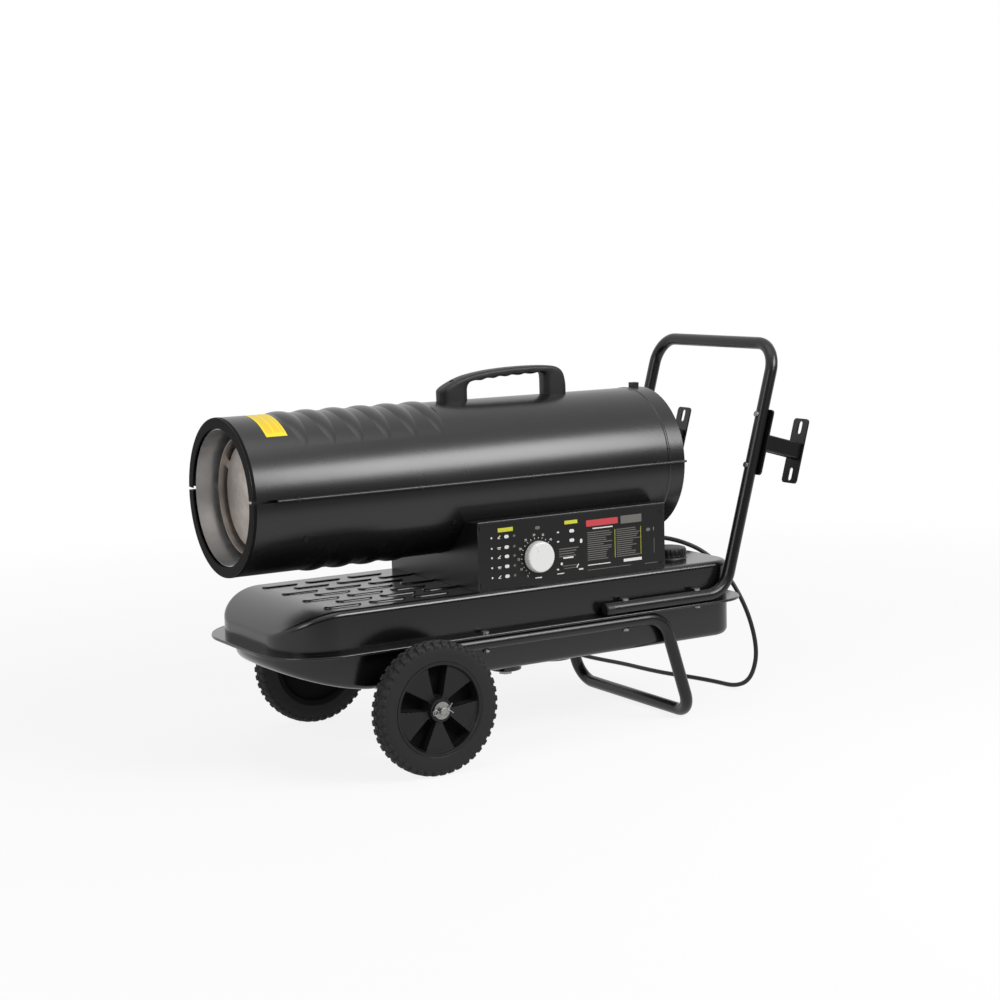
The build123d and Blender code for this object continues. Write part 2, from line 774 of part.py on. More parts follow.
grip_rear = grip_front + grip_length
barrel_top = axis_z + barrel_r
grip_top = barrel_top + grip_rise
with BuildPart() as carry_handle:
    with BuildSketch(plane_at_y(grip_half_width)):
        with BuildLine():
            slant = Polyline(
                (grip_front, axis_z),
                (grip_front, barrel_top + grip_front_rise),
                (grip_front + grip_slant[0], grip_top - grip_slant[1]),
                (grip_front + grip_brow[0], grip_top - grip_brow[1]),
            )
            back = Polyline(
                (grip_rear - grip_back[0], grip_top - grip_back[1]),
                (grip_rear - grip_heel[0], grip_top - grip_heel[1]),
                (grip_rear, barrel_top + grip_rear_rise),
                (grip_rear, axis_z),
            )
            crown = (grip_front + grip_crown[0] * grip_length, grip_top + grip_crown[1])
            ThreePointArc(slant @ 1, crown, back @ 0)
            Line(back @ 1, slant @ 0)
        make_face()
    extrude(amount=2 * grip_half_width)
    fillet(carry_handle.edges().filter_by(Plane.XZ).filter_by(lambda e: e.center().Z > barrel_top), grip_edge)
    hole_front = grip_front + grip_hole_front
    hole_rear = grip_front + grip_hole_rear
    with BuildSketch(plane_at_y(grip_half_width + overrun)):
        with BuildLine():
            FilletPolyline(
                (hole_front, axis_z),
                (hole_front, barrel_top + grip_hole_rise),
                (hole_rear, barrel_top + grip_hole_rise + grip_hole_climb),
                (hole_rear, axis_z),
                radius=grip_hole_bend,
            )
            Line((hole_rear, axis_z), (hole_front, axis_z))
        make_face()
        for i in range(finger_grips):
            step = (hole_rear - hole_front - 2 * grip_hole_bend) / finger_grips
            finger_z = barrel_top + grip_hole_rise - finger_drop + finger_climb * i
            with Locations((hole_front + grip_hole_bend + step * (i + 0.5), finger_z)):
                Circle(finger_share * step)
    extrude(amount=2 * grip_half_width + 2 * overrun, mode=Mode.SUBTRACT)
    disc_along_x(grip_front - overrun, grip_length + 2 * overrun, barrel_r + close_gap, mode=Mode.SUBTRACT)
    for x in grip_screw_x:
        disc_along_z(axis_z, 2 * barrel_r, grip_screw_r + loose_gap, x, 0, Mode.SUBTRACT)
keep(carry_handle, "carry_handle")

with BuildPart() as carry_handle_screws:
    for x in grip_screw_x:
        head_z = barrel_top - sheet - nut_depth - seat_gap
        disc_along_z(head_z, grip_screw_length + nut_depth, grip_screw_r, x, 0)
        disc_along_z(head_z, nut_depth, 2 * grip_screw_r, x, 0)
keep(carry_handle_screws, "carry_handle_screws")

# Control box: a sheet-metal cradle under the barrel, open where the barrel lies in it
box_middle = 0.5 * (box_front + box_rear)
box_height = box_top - box_floor
floor_top = box_floor + sheet
with BuildPart() as control_box:
    with BuildSketch(Plane.XY.offset(box_floor)):
        with Locations((box_middle, 0)):
            Rectangle(box_length, 2 * box_half_width)
    extrude(amount=box_height)
    with BuildSketch(Plane.XY.offset(floor_top)):
        with Locations((box_middle, 0)):
            Rectangle(box_length - 2 * sheet, 2 * (box_half_width - sheet))
    extrude(amount=box_height - 2 * sheet, mode=Mode.SUBTRACT)
    disc_along_x(box_front - sheet, box_length + 2 * sheet, barrel_r + seat_gap, mode=Mode.SUBTRACT)
    with BuildSketch(plane_at_y(-box_half_width + 2 * sheet)):
        with Locations((box_middle, box_floor + 0.5 * box_height)):
            Rectangle(box_length - 2 * window_margin, box_height - 2 * window_margin)
    extrude(amount=4 * sheet, mode=Mode.SUBTRACT)
    disc_along_x(box_rear - 2 * sheet, 3 * sheet, gland_thread_r + hole_gap, gland_y, gland_z, Mode.SUBTRACT)
    disc_along_z(box_floor - sheet, 3 * sheet, pickup_stem_r + hole_gap, pickup_x, 0, Mode.SUBTRACT)
    for x, z in panel_screw_places:
        disc_along_y(-box_half_width - sheet, 3 * sheet, panel_screw_r + hole_gap, x, z, Mode.SUBTRACT)
keep(control_box, "control_box")

with BuildPart() as control_panel:
    with BuildSketch(plane_at_y(-box_half_width)):
        with Locations((box_middle, box_floor + 0.5 * box_height)):
            RectangleRounded(box_length, box_height, panel_corner)
        with Locations((knob_x, knob_z)):
            Circle(knob_shaft_r + overrun, mode=Mode.SUBTRACT)
        for x, z in panel_screw_places:
            with Locations((x, z)):
                Circle(panel_screw_r + hole_gap, mode=Mode.SUBTRACT)
    extrude(amount=panel_sheet)
keep(control_panel, "control_panel")

panel_face = -box_half_width - panel_sheet
with BuildPart() as panel_screws:
    for x, z in panel_screw_places:
        disc_along_y(panel_face - panel_head_depth, panel_head_depth, panel_head_r, x, z)
        disc_along_y(panel_face, panel_sheet + 3 * sheet, panel_screw_r, x, z)
keep(panel_screws, "panel_screws")

# Thermostat behind the panel and its knob in front of it
with BuildPart() as thermostat:
    with Locations((knob_x, -box_half_width, knob_z)):
        Box(*thermostat_size, align=(Align.CENTER, Align.MIN, Align.CENTER))
    bore_y = -box_half_width - overrun
    disc_along_y(bore_y, knob_shaft_length, knob_shaft_r + running_gap, knob_x, knob_z, Mode.SUBTRACT)
keep(thermostat, "thermostat")

knob_back = panel_face - seat_gap
with BuildPart() as thermostat_knob:
    disc_along_y(knob_back - knob_depth, knob_depth, knob_r, knob_x, knob_z)
    fillet(thermostat_knob.edges().filter_by(GeomType.CIRCLE).sort_by(Axis.Y)[0], knob_edge)
    for notch in range(knob_notches):
        turn = radians(360 / knob_notches * (notch + 0.5))
        out = knob_r + knob_notch_out
        spot = (knob_x + out * cos(turn), knob_z + out * sin(turn))
        notch_y = knob_back - knob_depth - overrun
        disc_along_y(notch_y, knob_notch_share * knob_depth, knob_notch_r, *spot, mode=Mode.SUBTRACT)
    with BuildSketch(plane_at_y(knob_back - knob_depth + overrun)):
        with Locations((knob_x, knob_z + knob_mark_place * knob_r)):
            Rectangle(knob_mark_width, knob_mark_share * knob_r)
    extrude(amount=overrun + knob_mark_rise)
    disc_along_y(knob_back, panel_sheet + knob_shaft_length - knob_shaft_short, knob_shaft_r, knob_x, knob_z)
keep(thermostat_knob, "thermostat_knob")

# What stands on the box's floor
with BuildPart() as circuit_board:
    board_z = floor_top + board_standoff
    with Locations((board_x, board_y, board_z)):
        Box(board_size[0], board_size[1], board_sheet, align=standing)
    with Locations((board_x, board_y, floor_top)):
        with GridLocations(board_size[0] - 2 * board_post_in, board_size[1] - 2 * board_post_in, 2, 2):
            Cylinder(board_post_r, board_standoff, align=standing)
    for dx, dy, wide, deep, tall in board_blocks:
        with Locations((board_x + dx, board_y + dy, board_z + board_sheet)):
            Box(wide, deep, tall, align=standing)
    with Locations((board_x + capacitor_x, board_y + capacitor_y, board_z + board_sheet)):
        Cylinder(capacitor_r, capacitor_height, align=standing)
keep(circuit_board, "circuit_board")

terminal_top = floor_top + transformer_size[2] + terminal_height
with BuildPart() as ignition_transformer:
    with Locations((transformer_x, 0, floor_top)):
        Box(*transformer_size, align=standing)
    for across in (-1, 1):
        terminal_depth = transformer_size[2] + terminal_height
        disc_along_z(floor_top, terminal_depth, 2 * lead_r, lead_x, across * electrode_y)
keep(ignition_transformer, "ignition_transformer")

with BuildPart() as ignition_leads:
    for across in (-1, 1):
        y = across * electrode_y
        with BuildLine():
            lead = FilletPolyline(
                (lead_x, y, terminal_top + close_gap),
                (lead_x, y, electrode_z),
                (lead_start + close_gap, y, electrode_z),
                radius=lead_bend,
            )
        with BuildSketch(Plane(origin=lead @ 0, z_dir=lead % 0)):
            Circle(lead_r)
        sweep(path=lead)
keep(ignition_leads, "ignition_leads")

with BuildPart() as cable_gland:
    disc_along_x(box_rear, gland_length, gland_r, gland_y, gland_z)
    fillet(cable_gland.edges().filter_by(GeomType.CIRCLE).sort_by(Axis.X)[-1], gland_edge)
    with BuildSketch(Plane.YZ.offset(box_rear)):
        with Locations((gland_y, gland_z)):
            RegularPolygon(gland_hex_r, 6)
    extrude(amount=gland_hex_depth)
    disc_along_x(box_rear - sheet - gland_nut, sheet + gland_nut, gland_thread_r, gland_y, gland_z)
    nut_x = box_rear - sheet - gland_nut
    disc_along_x(nut_x, gland_nut - close_gap, gland_r + gland_nut_out, gland_y, gland_z)
keep(cable_gland, "cable_gland")


# Tank: two pressed pans that meet at the flange
def tank_plan(z, grow):
    """The tank's outline from above, grown all round, as a sketch at this height."""
    with BuildSketch(Plane.XY.offset(z)) as plan:
        with Locations((0.5 * (tank_front + tank_rear), 0)):
            Rectangle(tank_rear - tank_front + 2 * grow, 2 * (tank_half_width + grow))
        fillet(plan.vertices().sort_by(Axis.X)[:2], tank_front_corner + grow)
        fillet(plan.vertices().sort_by(Axis.X)[-2:], tank_rear_corner + grow)
    return plan.sketch


def upper_form(inset):
    """The upper pan as a solid block, drawn in by inset, with its arched nose and rounded shoulder."""
    top = tank_top - inset
    nose_x = tank_front + nose_length
    nose_r = (nose_length**2 + nose_drop**2) / (2 * nose_drop)
    centre_z = tank_top - nose_r
    past = nose_length + flange_overhang
    with BuildPart() as form:
        extrude(tank_plan(flange_z, -inset), amount=top - flange_z)
        with BuildSketch(plane_at_y(flange_y)):
            with BuildLine():
                nose = ThreePointArc(
                    (nose_x, top),
                    (nose_x - 0.5 * past, centre_z + sqrt((nose_r - inset) ** 2 - (0.5 * past) ** 2)),
                    (nose_x - past, centre_z + sqrt((nose_r - inset) ** 2 - past**2)),
                )
                Polyline(nose @ 1, (nose_x - past, top + past), (nose_x, top + past), nose @ 0)
            make_face()
        extrude(amount=2 * flange_y, mode=Mode.SUBTRACT)
        high = form.edges().filter_by(lambda e: e.center().Z > flange_z + shoulder_above_flange)
        rim = high.filter_by(Axis.Z, reverse=True)
        rim = rim.filter_by(lambda e: hypot(e.center().X - nose_x, e.center().Y) > overrun)
        fillet(rim, tank_shoulder - inset)
    return form.part


def lower_form(inset):
    """The lower pan as a solid block, drawn in by inset, with its undercut front."""
    bottom = tank_bottom + inset
    with BuildPart() as form:
        extrude(tank_plan(flange_z, -inset), amount=bottom - flange_z)
        with BuildSketch(plane_at_y(flange_y)):
            with BuildLine():
                Polyline(
                    (tank_front + inset, flange_bottom - undercut_start),
                    (tank_front - flange_overhang, flange_bottom - undercut_start),
                    (tank_front - flange_overhang, tank_bottom - flange_overhang),
                    (tank_front + tank_undercut, tank_bottom - flange_overhang),
                    (tank_front + tank_undercut, bottom),
                )
                ThreePointArc(
                    (tank_front + tank_undercut, bottom),
                    (
                        tank_front + inset + undercut_bow[0] * tank_undercut,
                        bottom + undercut_bow[1] * (flange_bottom - bottom),
                    ),
                    (tank_front + inset, flange_bottom - undercut_start),
                )
            make_face()
        extrude(amount=2 * flange_y, mode=Mode.SUBTRACT)
        low = form.edges().filter_by(lambda e: abs(e.center().Z - bottom) < 0.5 * overrun)
        fillet(low, tank_bottom_edge - inset)
    return form.part


with BuildPart() as tank_upper:
    add(upper_form(0.0))
    extrude(tank_plan(flange_z, flange_overhang), amount=flange_sheet)
    add(upper_form(flange_sheet), mode=Mode.SUBTRACT)
    with BuildSketch(Plane.XY.offset(tank_top - 0.5 * flange_sheet)):
        for row in range(emboss_rows):
            for column in range(emboss_columns):
                x = emboss_front + column * emboss_pitch + (row % 2) * 0.5 * emboss_pitch
                if x + 0.5 * emboss_length < box_front:
                    with Locations((x, (row - 0.5 * (emboss_rows - 1)) * emboss_row_pitch)):
                        SlotOverall(emboss_length, emboss_width)
    extrude(amount=0.5 * flange_sheet + emboss_height)
    through = (tank_top - 2 * flange_sheet, 3 * flange_sheet)
    disc_along_z(*through, neck_r + hole_gap, filler_x, filler_y, Mode.SUBTRACT)
    disc_along_z(*through, pickup_stem_r + hole_gap, pickup_x, 0, Mode.SUBTRACT)
    through = (flange_z - flange_sheet, 3 * flange_sheet)
    for x in (front_bolt_x, middle_bolt_x, rear_bolt_x):
        for across in (-1, 1):
            disc_along_z(*through, bolt_r + hole_gap, x, across * bolt_y, Mode.SUBTRACT)
keep(tank_upper, "tank_upper")

with BuildPart() as tank_lower:
    add(lower_form(0.0))
    extrude(tank_plan(flange_z, flange_overhang), amount=-flange_sheet)
    add(lower_form(flange_sheet), mode=Mode.SUBTRACT)
    disc_along_z(tank_bottom - sump_depth, sump_depth + flange_sheet, sump_r, sump_x, sump_y)
    sump_floor = tank_bottom - sump_depth + flange_sheet
    disc_along_z(sump_floor, sump_depth + flange_sheet, sump_r - flange_sheet, sump_x, sump_y, Mode.SUBTRACT)
    through = (tank_bottom - 2 * sump_depth, 3 * sump_depth)
    disc_along_z(*through, plug_thread_r + hole_gap, sump_x, sump_y, Mode.SUBTRACT)
    through = (flange_z - 2 * flange_sheet, 3 * flange_sheet)
    for x in (front_bolt_x, middle_bolt_x, rear_bolt_x):
        for across in (-1, 1):
            disc_along_z(*through, bolt_r + hole_gap, x, across * bolt_y, Mode.SUBTRACT)
keep(tank_lower, "tank_lower")

with BuildPart() as drain_plug:
    sump_bottom = tank_bottom - sump_depth
    disc_along_z(sump_bottom, sump_depth, plug_thread_r, sump_x, sump_y)
    disc_along_z(sump_bottom - plug_washer, plug_washer, 0.5 * plug_hex + plug_washer_out, sump_x, sump_y)
    with BuildSketch(Plane.XY.offset(sump_bottom - plug_washer)):
        with Locations((sump_x, sump_y)):
            RegularPolygon(0.5 * plug_hex, 6, major_radius=False)
    extrude(amount=-plug_depth)
keep(drain_plug, "drain_plug")

# Filler: neck, strainer, cap and the seal inside the cap
neck_inner_r = neck_r - neck_wall
neck_bottom = tank_top - neck_drop
neck_top = tank_top + neck_height
with BuildPart() as filler_neck:
    collar_cut = (tank_top - overrun, neck_flange_sheet + 2 * overrun)
    disc_along_z(tank_top, neck_flange_sheet, neck_flange_r, filler_x, filler_y)
    disc_along_z(*collar_cut, neck_r + close_gap, filler_x, filler_y, Mode.SUBTRACT)
    disc_along_z(neck_bottom, neck_top - neck_bottom, neck_r, filler_x, filler_y)
    bore_length = neck_top - neck_bottom + 2 * overrun
    disc_along_z(neck_bottom - overrun, bore_length, neck_inner_r, filler_x, filler_y, Mode.SUBTRACT)
keep(filler_neck, "filler_neck")

with BuildPart() as fuel_strainer:
    strainer_r = neck_inner_r + strainer_out
    strainer_z = neck_bottom - strainer_depth
    disc_along_z(strainer_z, strainer_depth, strainer_r, filler_x, filler_y)
    disc_along_z(neck_bottom - strainer_rim, strainer_rim, neck_r, filler_x, filler_y)
    disc_along_z(strainer_z + sheet, strainer_depth, strainer_r - sheet, filler_x, filler_y, Mode.SUBTRACT)
    for level in range(strainer_rows):
        with Locations((filler_x, filler_y, strainer_z + strainer_first + strainer_pitch * level)):
            for slot in range(strainer_slots):
                with Locations(Location((0, 0, 0), (0, 0, 180 / strainer_slots * slot))):
                    Box(4 * neck_r, strainer_slot_width, strainer_slot_height, mode=Mode.SUBTRACT)
keep(fuel_strainer, "fuel_strainer")

cap_bottom = tank_top + neck_flange_sheet + cap_above_flange
cap_inner_top = cap_bottom + cap_height - cap_wall
with BuildPart() as fuel_cap:
    disc_along_z(cap_bottom, cap_height, cap_r, filler_x, filler_y)
    fillet(fuel_cap.edges().filter_by(GeomType.CIRCLE).sort_by(Axis.Z)[-1], cap_edge)
    for rib in range(cap_ribs):
        turn = radians(360 / cap_ribs * rib)
        out = cap_r + cap_notch_out
        spot = (filler_x + out * cos(turn), filler_y + out * sin(turn))
        disc_along_z(cap_bottom - overrun, cap_height + 2 * overrun, cap_notch_r, *spot, mode=Mode.SUBTRACT)
    cap_inner_r = cap_r - cap_wall
    disc_along_z(cap_bottom - overrun, cap_height + 2 * overrun, cap_inner_r, filler_x, filler_y, Mode.SUBTRACT)
    disc_along_z(cap_inner_top, cap_wall, cap_inner_r - close_gap, filler_x, filler_y)
keep(fuel_cap, "fuel_cap")

with BuildPart() as cap_seal:
    seal_bottom = neck_top + seat_gap
    seal_depth = cap_inner_top - seat_gap - seal_bottom
    disc_along_z(seal_bottom, seal_depth, cap_r - cap_wall - running_gap, filler_x, filler_y)
    hollow = (seal_bottom - overrun, seal_depth + 2 * overrun)
    disc_along_z(*hollow, neck_inner_r - seal_hole_in, filler_x, filler_y, Mode.SUBTRACT)
keep(cap_seal, "cap_seal")

# Fuel pickup and the two hoses
barb_top = floor_top + barb_height
with BuildPart() as fuel_pickup:
    stem_bottom = tank_top - pickup_stem_drop
    pipe_bottom = tank_bottom + flange_sheet + pickup_pipe_clear
    disc_along_z(floor_top, pickup_flange, pickup_stem_r + pickup_flange_out, pickup_x, 0)
    disc_along_z(stem_bottom, floor_top - stem_bottom, pickup_stem_r, pickup_x, 0)
    disc_along_z(floor_top, barb_top - floor_top, fuel_hose_r, pickup_x, 0)
    disc_along_z(pipe_bottom, tank_top - pipe_bottom, pickup_pipe_r, pickup_x, 0)
keep(fuel_pickup, "fuel_pickup")

with BuildPart() as fuel_hose:
    with BuildLine():
        hose = FilletPolyline(
            (pickup_x, 0, barb_top + close_gap),
            (pickup_x, 0, axis_z),
            (nozzle_rear + close_gap, 0, axis_z),
            radius=hose_bend,
        )
    with BuildSketch(Plane(origin=hose @ 0, z_dir=hose % 0)):
        Circle(fuel_hose_r)
    sweep(path=hose)
keep(fuel_hose, "fuel_hose")

pump_port_x = motor_rear + 0.5 * pump_length
with BuildPart() as air_hose:
    with BuildLine():
        hose = FilletPolyline(
            (pump_port_x, 0, axis_z - pump_r - close_gap),
            (pump_port_x, 0, air_hose_z),
            (pump_port_x - air_hose_step, -air_hose_y, air_hose_z),
            (air_hose_x, -air_hose_y, air_hose_z),
            (air_hose_x, -air_hose_y, axis_z - air_hose_drop),
            (air_port_x, -air_hose_in * air_hose_y, axis_z),
            (air_port_x, -nozzle_r - close_gap, axis_z),
            radius=air_hose_bend,
        )
    with BuildSketch(Plane(origin=hose @ 0, z_dir=hose % 0)):
        Circle(air_hose_r)
    sweep(path=hose)
keep(air_hose, "air_hose")


# Tubes
def tube_along(path, outer_r, wall):
    """A round tube along a path, inside the builder that is open."""
    with BuildSketch(Plane(origin=path @ 0, z_dir=path % 0)) as section:
        Circle(outer_r)
        Circle(outer_r - wall, mode=Mode.SUBTRACT)
    sweep(section.sketch, path=path)


leg_run = handle_top_x - handle_corner_x
leg_rise = handle_top_z - handle_tube_z
leg_length = hypot(leg_run, leg_rise)
leg_dir = (leg_run / leg_length, 0, leg_rise / leg_length)
leg_out = (leg_rise / leg_length, 0, -leg_run / leg_length)
leg_frame = Plane(origin=(handle_corner_x, -handle_y, handle_tube_z), x_dir=leg_out, z_dir=leg_dir)


def leg_place(out, along):
    """A place beside the left leg: out is rearwards from its axis, along is up from its lower corner."""
    return leg_frame.location * Location((out, 0, along))


outwards = Location((0, 0, 0), (0, 90, 0))
with BuildPart() as push_handle:
    with BuildLine():
        grip = FilletPolyline(
            (handle_front, -handle_y, handle_tube_z),
            (handle_corner_x, -handle_y, handle_tube_z),
            (handle_top_x, -handle_y, handle_top_z),
            (handle_top_x, handle_y, handle_top_z),
            (handle_corner_x, handle_y, handle_tube_z),
            (handle_front, handle_y, handle_tube_z),
            radius=handle_bend,
        )
    tube_along(grip, tube_r, tube_wall)
    for across in (-1, 1):
        for x in (middle_bolt_x, rear_bolt_x):
            disc_along_z(flange_top, 3 * tube_r, bolt_r + hole_gap, x, across * bolt_y, Mode.SUBTRACT)
    for step in (-bracket_screw_step, bracket_screw_step):
        with Locations(leg_place(-2 * tube_r, bracket_along + step) * outwards):
            hole = Cylinder(bolt_r + hole_gap, 4 * tube_r, align=standing, mode=Mode.PRIVATE)
        add(hole, mode=Mode.SUBTRACT)
        add(mirror(hole, about=Plane.XZ), mode=Mode.SUBTRACT)
keep(push_handle, "push_handle")

with BuildPart() as handle_end_caps:
    for across in (-1, 1):
        disc_along_x(handle_front - end_cap_length, end_cap_length, tube_r, across * handle_y, handle_tube_z)
    fillet(handle_end_caps.edges().filter_by(GeomType.CIRCLE).group_by(Axis.X)[0], end_cap_edge)
    plug_in_r = tube_r - tube_wall - close_gap
    for across in (-1, 1):
        disc_along_x(handle_front, end_cap_plug, plug_in_r, across * handle_y, handle_tube_z)
keep(handle_end_caps, "handle_end_caps")

with BuildPart() as stand_frame:
    with BuildLine():
        frame_path = FilletPolyline(
            (wheel_x, -stand_y, wheel_r - stand_past_axle),
            (wheel_x, -stand_y, stand_tube_z),
            (stand_corner_x, -stand_y, stand_tube_z),
            (stand_foot_x, -stand_y, tube_r),
            (stand_foot_x, stand_y, tube_r),
            (stand_corner_x, stand_y, stand_tube_z),
            (wheel_x, stand_y, stand_tube_z),
            (wheel_x, stand_y, wheel_r - stand_past_axle),
            radius=(stand_bend, stand_bend, stand_foot_bend, stand_foot_bend, stand_bend, stand_bend),
        )
    tube_along(frame_path, tube_r, tube_wall)
    disc_along_y(-axle_end, 2 * axle_end, axle_r + close_gap, wheel_x, wheel_r, Mode.SUBTRACT)
    for across in (-1, 1):
        for x in (front_bolt_x, middle_bolt_x):
            low = stand_tube_z - 2 * tube_r
            disc_along_z(low, 4 * tube_r, bolt_r + hole_gap, x, across * bolt_y, Mode.SUBTRACT)
keep(stand_frame, "stand_frame")

with BuildPart() as frame_bolts:
    rail_bottom = stand_tube_z - tube_r
    handle_bolt_top = handle_tube_z + tube_r
    bolt_spans = (
        (front_bolt_x, rail_bottom, flange_top),
        (middle_bolt_x, rail_bottom, handle_bolt_top),
        (rear_bolt_x, flange_bottom, handle_bolt_top),
    )
    for x, low, high in bolt_spans:
        bottom = low - bolt_head_depth - close_gap
        for across in (-1, 1):
            disc_along_z(bottom, high + 2 * close_gap - bottom, bolt_r, x, across * bolt_y)
            disc_along_z(high + close_gap, bolt_head_depth, bolt_head_r, x, across * bolt_y)
            disc_along_z(bottom, bolt_head_depth, bolt_head_r, x, across * bolt_y)
keep(frame_bolts, "frame_bolts")

# Cord brackets on the legs
with BuildPart() as left_cord_bracket:
    strip_out = tube_r + close_gap
    plate_out = strip_out + bracket_thick + bracket_reach
    along_out = Plane(origin=leg_frame.origin, x_dir=(0, 1, 0), z_dir=leg_out)
    with BuildSketch(along_out.offset(strip_out)):
        with Locations((0, bracket_along)):
            RectangleRounded(bracket_strip_width, bracket_height, bracket_corner)
        for step in (-bracket_screw_step, bracket_screw_step):
            with Locations((0, bracket_along + step)):
                Circle(bolt_r + hole_gap, mode=Mode.SUBTRACT)
    extrude(amount=bracket_thick)
    with BuildSketch(along_out.offset(strip_out + bracket_thick)):
        with Locations((0, bracket_along)):
            RectangleRounded(bracket_rib, bracket_rib, bracket_thick)
            hollow = bracket_rib - 2 * bracket_thick
            RectangleRounded(hollow, hollow, bracket_rib_corner, mode=Mode.SUBTRACT)
        with Locations((0, bracket_along - 0.5 * bracket_rib)):
            Rectangle(hollow, 2 * bracket_thick, mode=Mode.SUBTRACT)
    extrude(amount=bracket_reach)
    with BuildSketch(along_out.offset(plate_out)):
        with Locations((0, bracket_along)):
            RectangleRounded(bracket_width, bracket_height, bracket_corner)
        for step in (-bracket_hole_step, bracket_hole_step):
            with Locations((0, bracket_along + step)):
                SlotOverall(bracket_hole[1], bracket_hole[0], rotation=90, mode=Mode.SUBTRACT)
    extrude(amount=bracket_thick)
keep(left_cord_bracket, "left_cord_bracket")

with BuildPart() as right_cord_bracket:
    mirror(left_cord_bracket.part, about=Plane.XZ)
keep(right_cord_bracket, "right_cord_bracket")

with BuildPart() as left_bracket_screws:
    for step in (-bracket_screw_step, bracket_screw_step):
        head_out = -tube_r - close_gap - bracket_head_depth
        nut_out = strip_out + bracket_thick + close_gap
        with Locations(leg_place(head_out, bracket_along + step) * outwards):
            Cylinder(bracket_head_r, bracket_head_depth, align=standing)
            Cylinder(bolt_r, nut_out + bracket_head_depth - head_out, align=standing)
        with Locations(leg_place(nut_out, bracket_along + step) * outwards):
            Cylinder(bracket_head_r, bracket_head_depth, align=standing)
with BuildPart() as bracket_screws:
    add(left_bracket_screws.part)
    mirror(left_bracket_screws.part, about=Plane.XZ)
keep(bracket_screws, "bracket_screws")

# Wheels on a fixed axle
hub_inner_y = stand_y + tube_r + washer_sheet + 2 * seat_gap
hub_outer_y = wheel_outer_y + hub_proud
wheel_inner_y = wheel_outer_y - tyre_width
with BuildPart() as left_rim:
    disc_along_y(-hub_outer_y, hub_outer_y - hub_inner_y, hub_r, wheel_x, wheel_r)
    dish_r = rim_r - rim_wall + overrun
    disc_along_y(-wheel_outer_y + rim_recess, tyre_width - 2 * rim_recess, dish_r, wheel_x, wheel_r)
    with BuildSketch(plane_at_y(-wheel_inner_y)):
        with Locations((wheel_x, wheel_r)):
            Circle(rim_r)
            Circle(rim_r - rim_wall, mode=Mode.SUBTRACT)
    extrude(amount=tyre_width)
    with BuildSketch(plane_at_y(-wheel_outer_y + rim_recess - overrun)):
        with Locations((wheel_x, wheel_r)):
            with PolarLocations(0, spokes, start_angle=90):
                with Locations((0.5 * (pocket_inner + pocket_outer), 0)):
                    Trapezoid(pocket_wide, pocket_outer - pocket_inner, pocket_slope, rotation=90)
    extrude(amount=-pocket_depth - overrun, mode=Mode.SUBTRACT)
    disc_along_y(-axle_end, axle_end, axle_r + running_gap, wheel_x, wheel_r, Mode.SUBTRACT)
keep(left_rim, "left_rim")

with BuildPart() as left_tyre:
    with BuildSketch(Plane.XY.offset(wheel_r)) as tyre_section:
        with Locations((wheel_x + 0.5 * (rim_r + close_gap + wheel_r), -wheel_outer_y + 0.5 * tyre_width)):
            Rectangle(wheel_r - rim_r - close_gap, tyre_width)
        fillet(tyre_section.vertices().sort_by(Axis.X)[-2:], tyre_shoulder)
    revolve(axis=Axis((wheel_x, 0, wheel_r), (0, 1, 0)))
    for block in range(tread_blocks):
        for side in (-1, 1):
            turn = 360 / tread_blocks * (block + 0.25 * side)
            middle = -wheel_outer_y + 0.5 * tyre_width + side * 0.5 * tyre_width
            slot_place = Location((wheel_x, middle, wheel_r), (0, turn, 0))
            with Locations(slot_place * Location((wheel_r + 0.5 * tread_depth, 0, 0))):
                Box(3 * tread_depth, 2 * tread_reach, tread_slot, mode=Mode.SUBTRACT)
keep(left_tyre, "left_tyre")

with BuildPart() as right_rim:
    mirror(left_rim.part, about=Plane.XZ)
keep(right_rim, "right_rim")

with BuildPart() as right_tyre:
    mirror(left_tyre.part, about=Plane.XZ)
keep(right_tyre, "right_tyre")

pin_y = hub_outer_y + washer_sheet + split_pin_r + 2 * seat_gap
with BuildPart() as axle:
    disc_along_y(-axle_end, 2 * axle_end, axle_r, wheel_x, wheel_r)
    chamfer(axle.edges().filter_by(GeomType.CIRCLE), axle_chamfer)
    for across in (-1, 1):
        hole_start = wheel_x - 2 * axle_r
        disc_along_x(hole_start, 4 * axle_r, split_pin_r + close_gap, across * pin_y, wheel_r, Mode.SUBTRACT)
keep(axle, "axle")

with BuildPart() as axle_washers:
    for across in (-1, 1):
        for y in (stand_y + tube_r + seat_gap, hub_outer_y + seat_gap):
            with BuildSketch(plane_at_y(across * (y + 0.5 * washer_sheet))):
                with Locations((wheel_x, wheel_r)):
                    Circle(washer_r)
                    Circle(axle_r + close_gap, mode=Mode.SUBTRACT)
            extrude(amount=0.5 * washer_sheet, both=True)
keep(axle_washers, "axle_washers")

with BuildPart() as split_pins:
    for across in (-1, 1):
        reach = axle_r + split_pin_out
        disc_along_x(wheel_x - reach, 2 * reach, split_pin_r, across * pin_y, wheel_r)
        with Locations(Location((wheel_x - reach - split_eye_r, across * pin_y, wheel_r), (90, 0, 0))):
            Torus(split_eye_r, split_wire_r)
        for lean in (-split_leg_splay, split_leg_splay):
            leg_start = (wheel_x + reach - split_leg_overlap, across * pin_y, wheel_r)
            with Locations(Location(leg_start, (0, 90 + lean, 0))):
                Cylinder(split_wire_r, split_leg_length, align=standing)
keep(split_pins, "split_pins")


# Power cord
def bend_radii(points):
    """For each corner of a route, a radius as large as its two runs allow."""
    radii = []
    for before, here, after in zip(points, points[1:], points[2:]):
        turn = radians((here - before).get_angle(after - here))
        shorter = min((here - before).length, (after - here).length)
        radii.append(cord_bend_share * shorter / tan(0.5 * turn))
    return radii


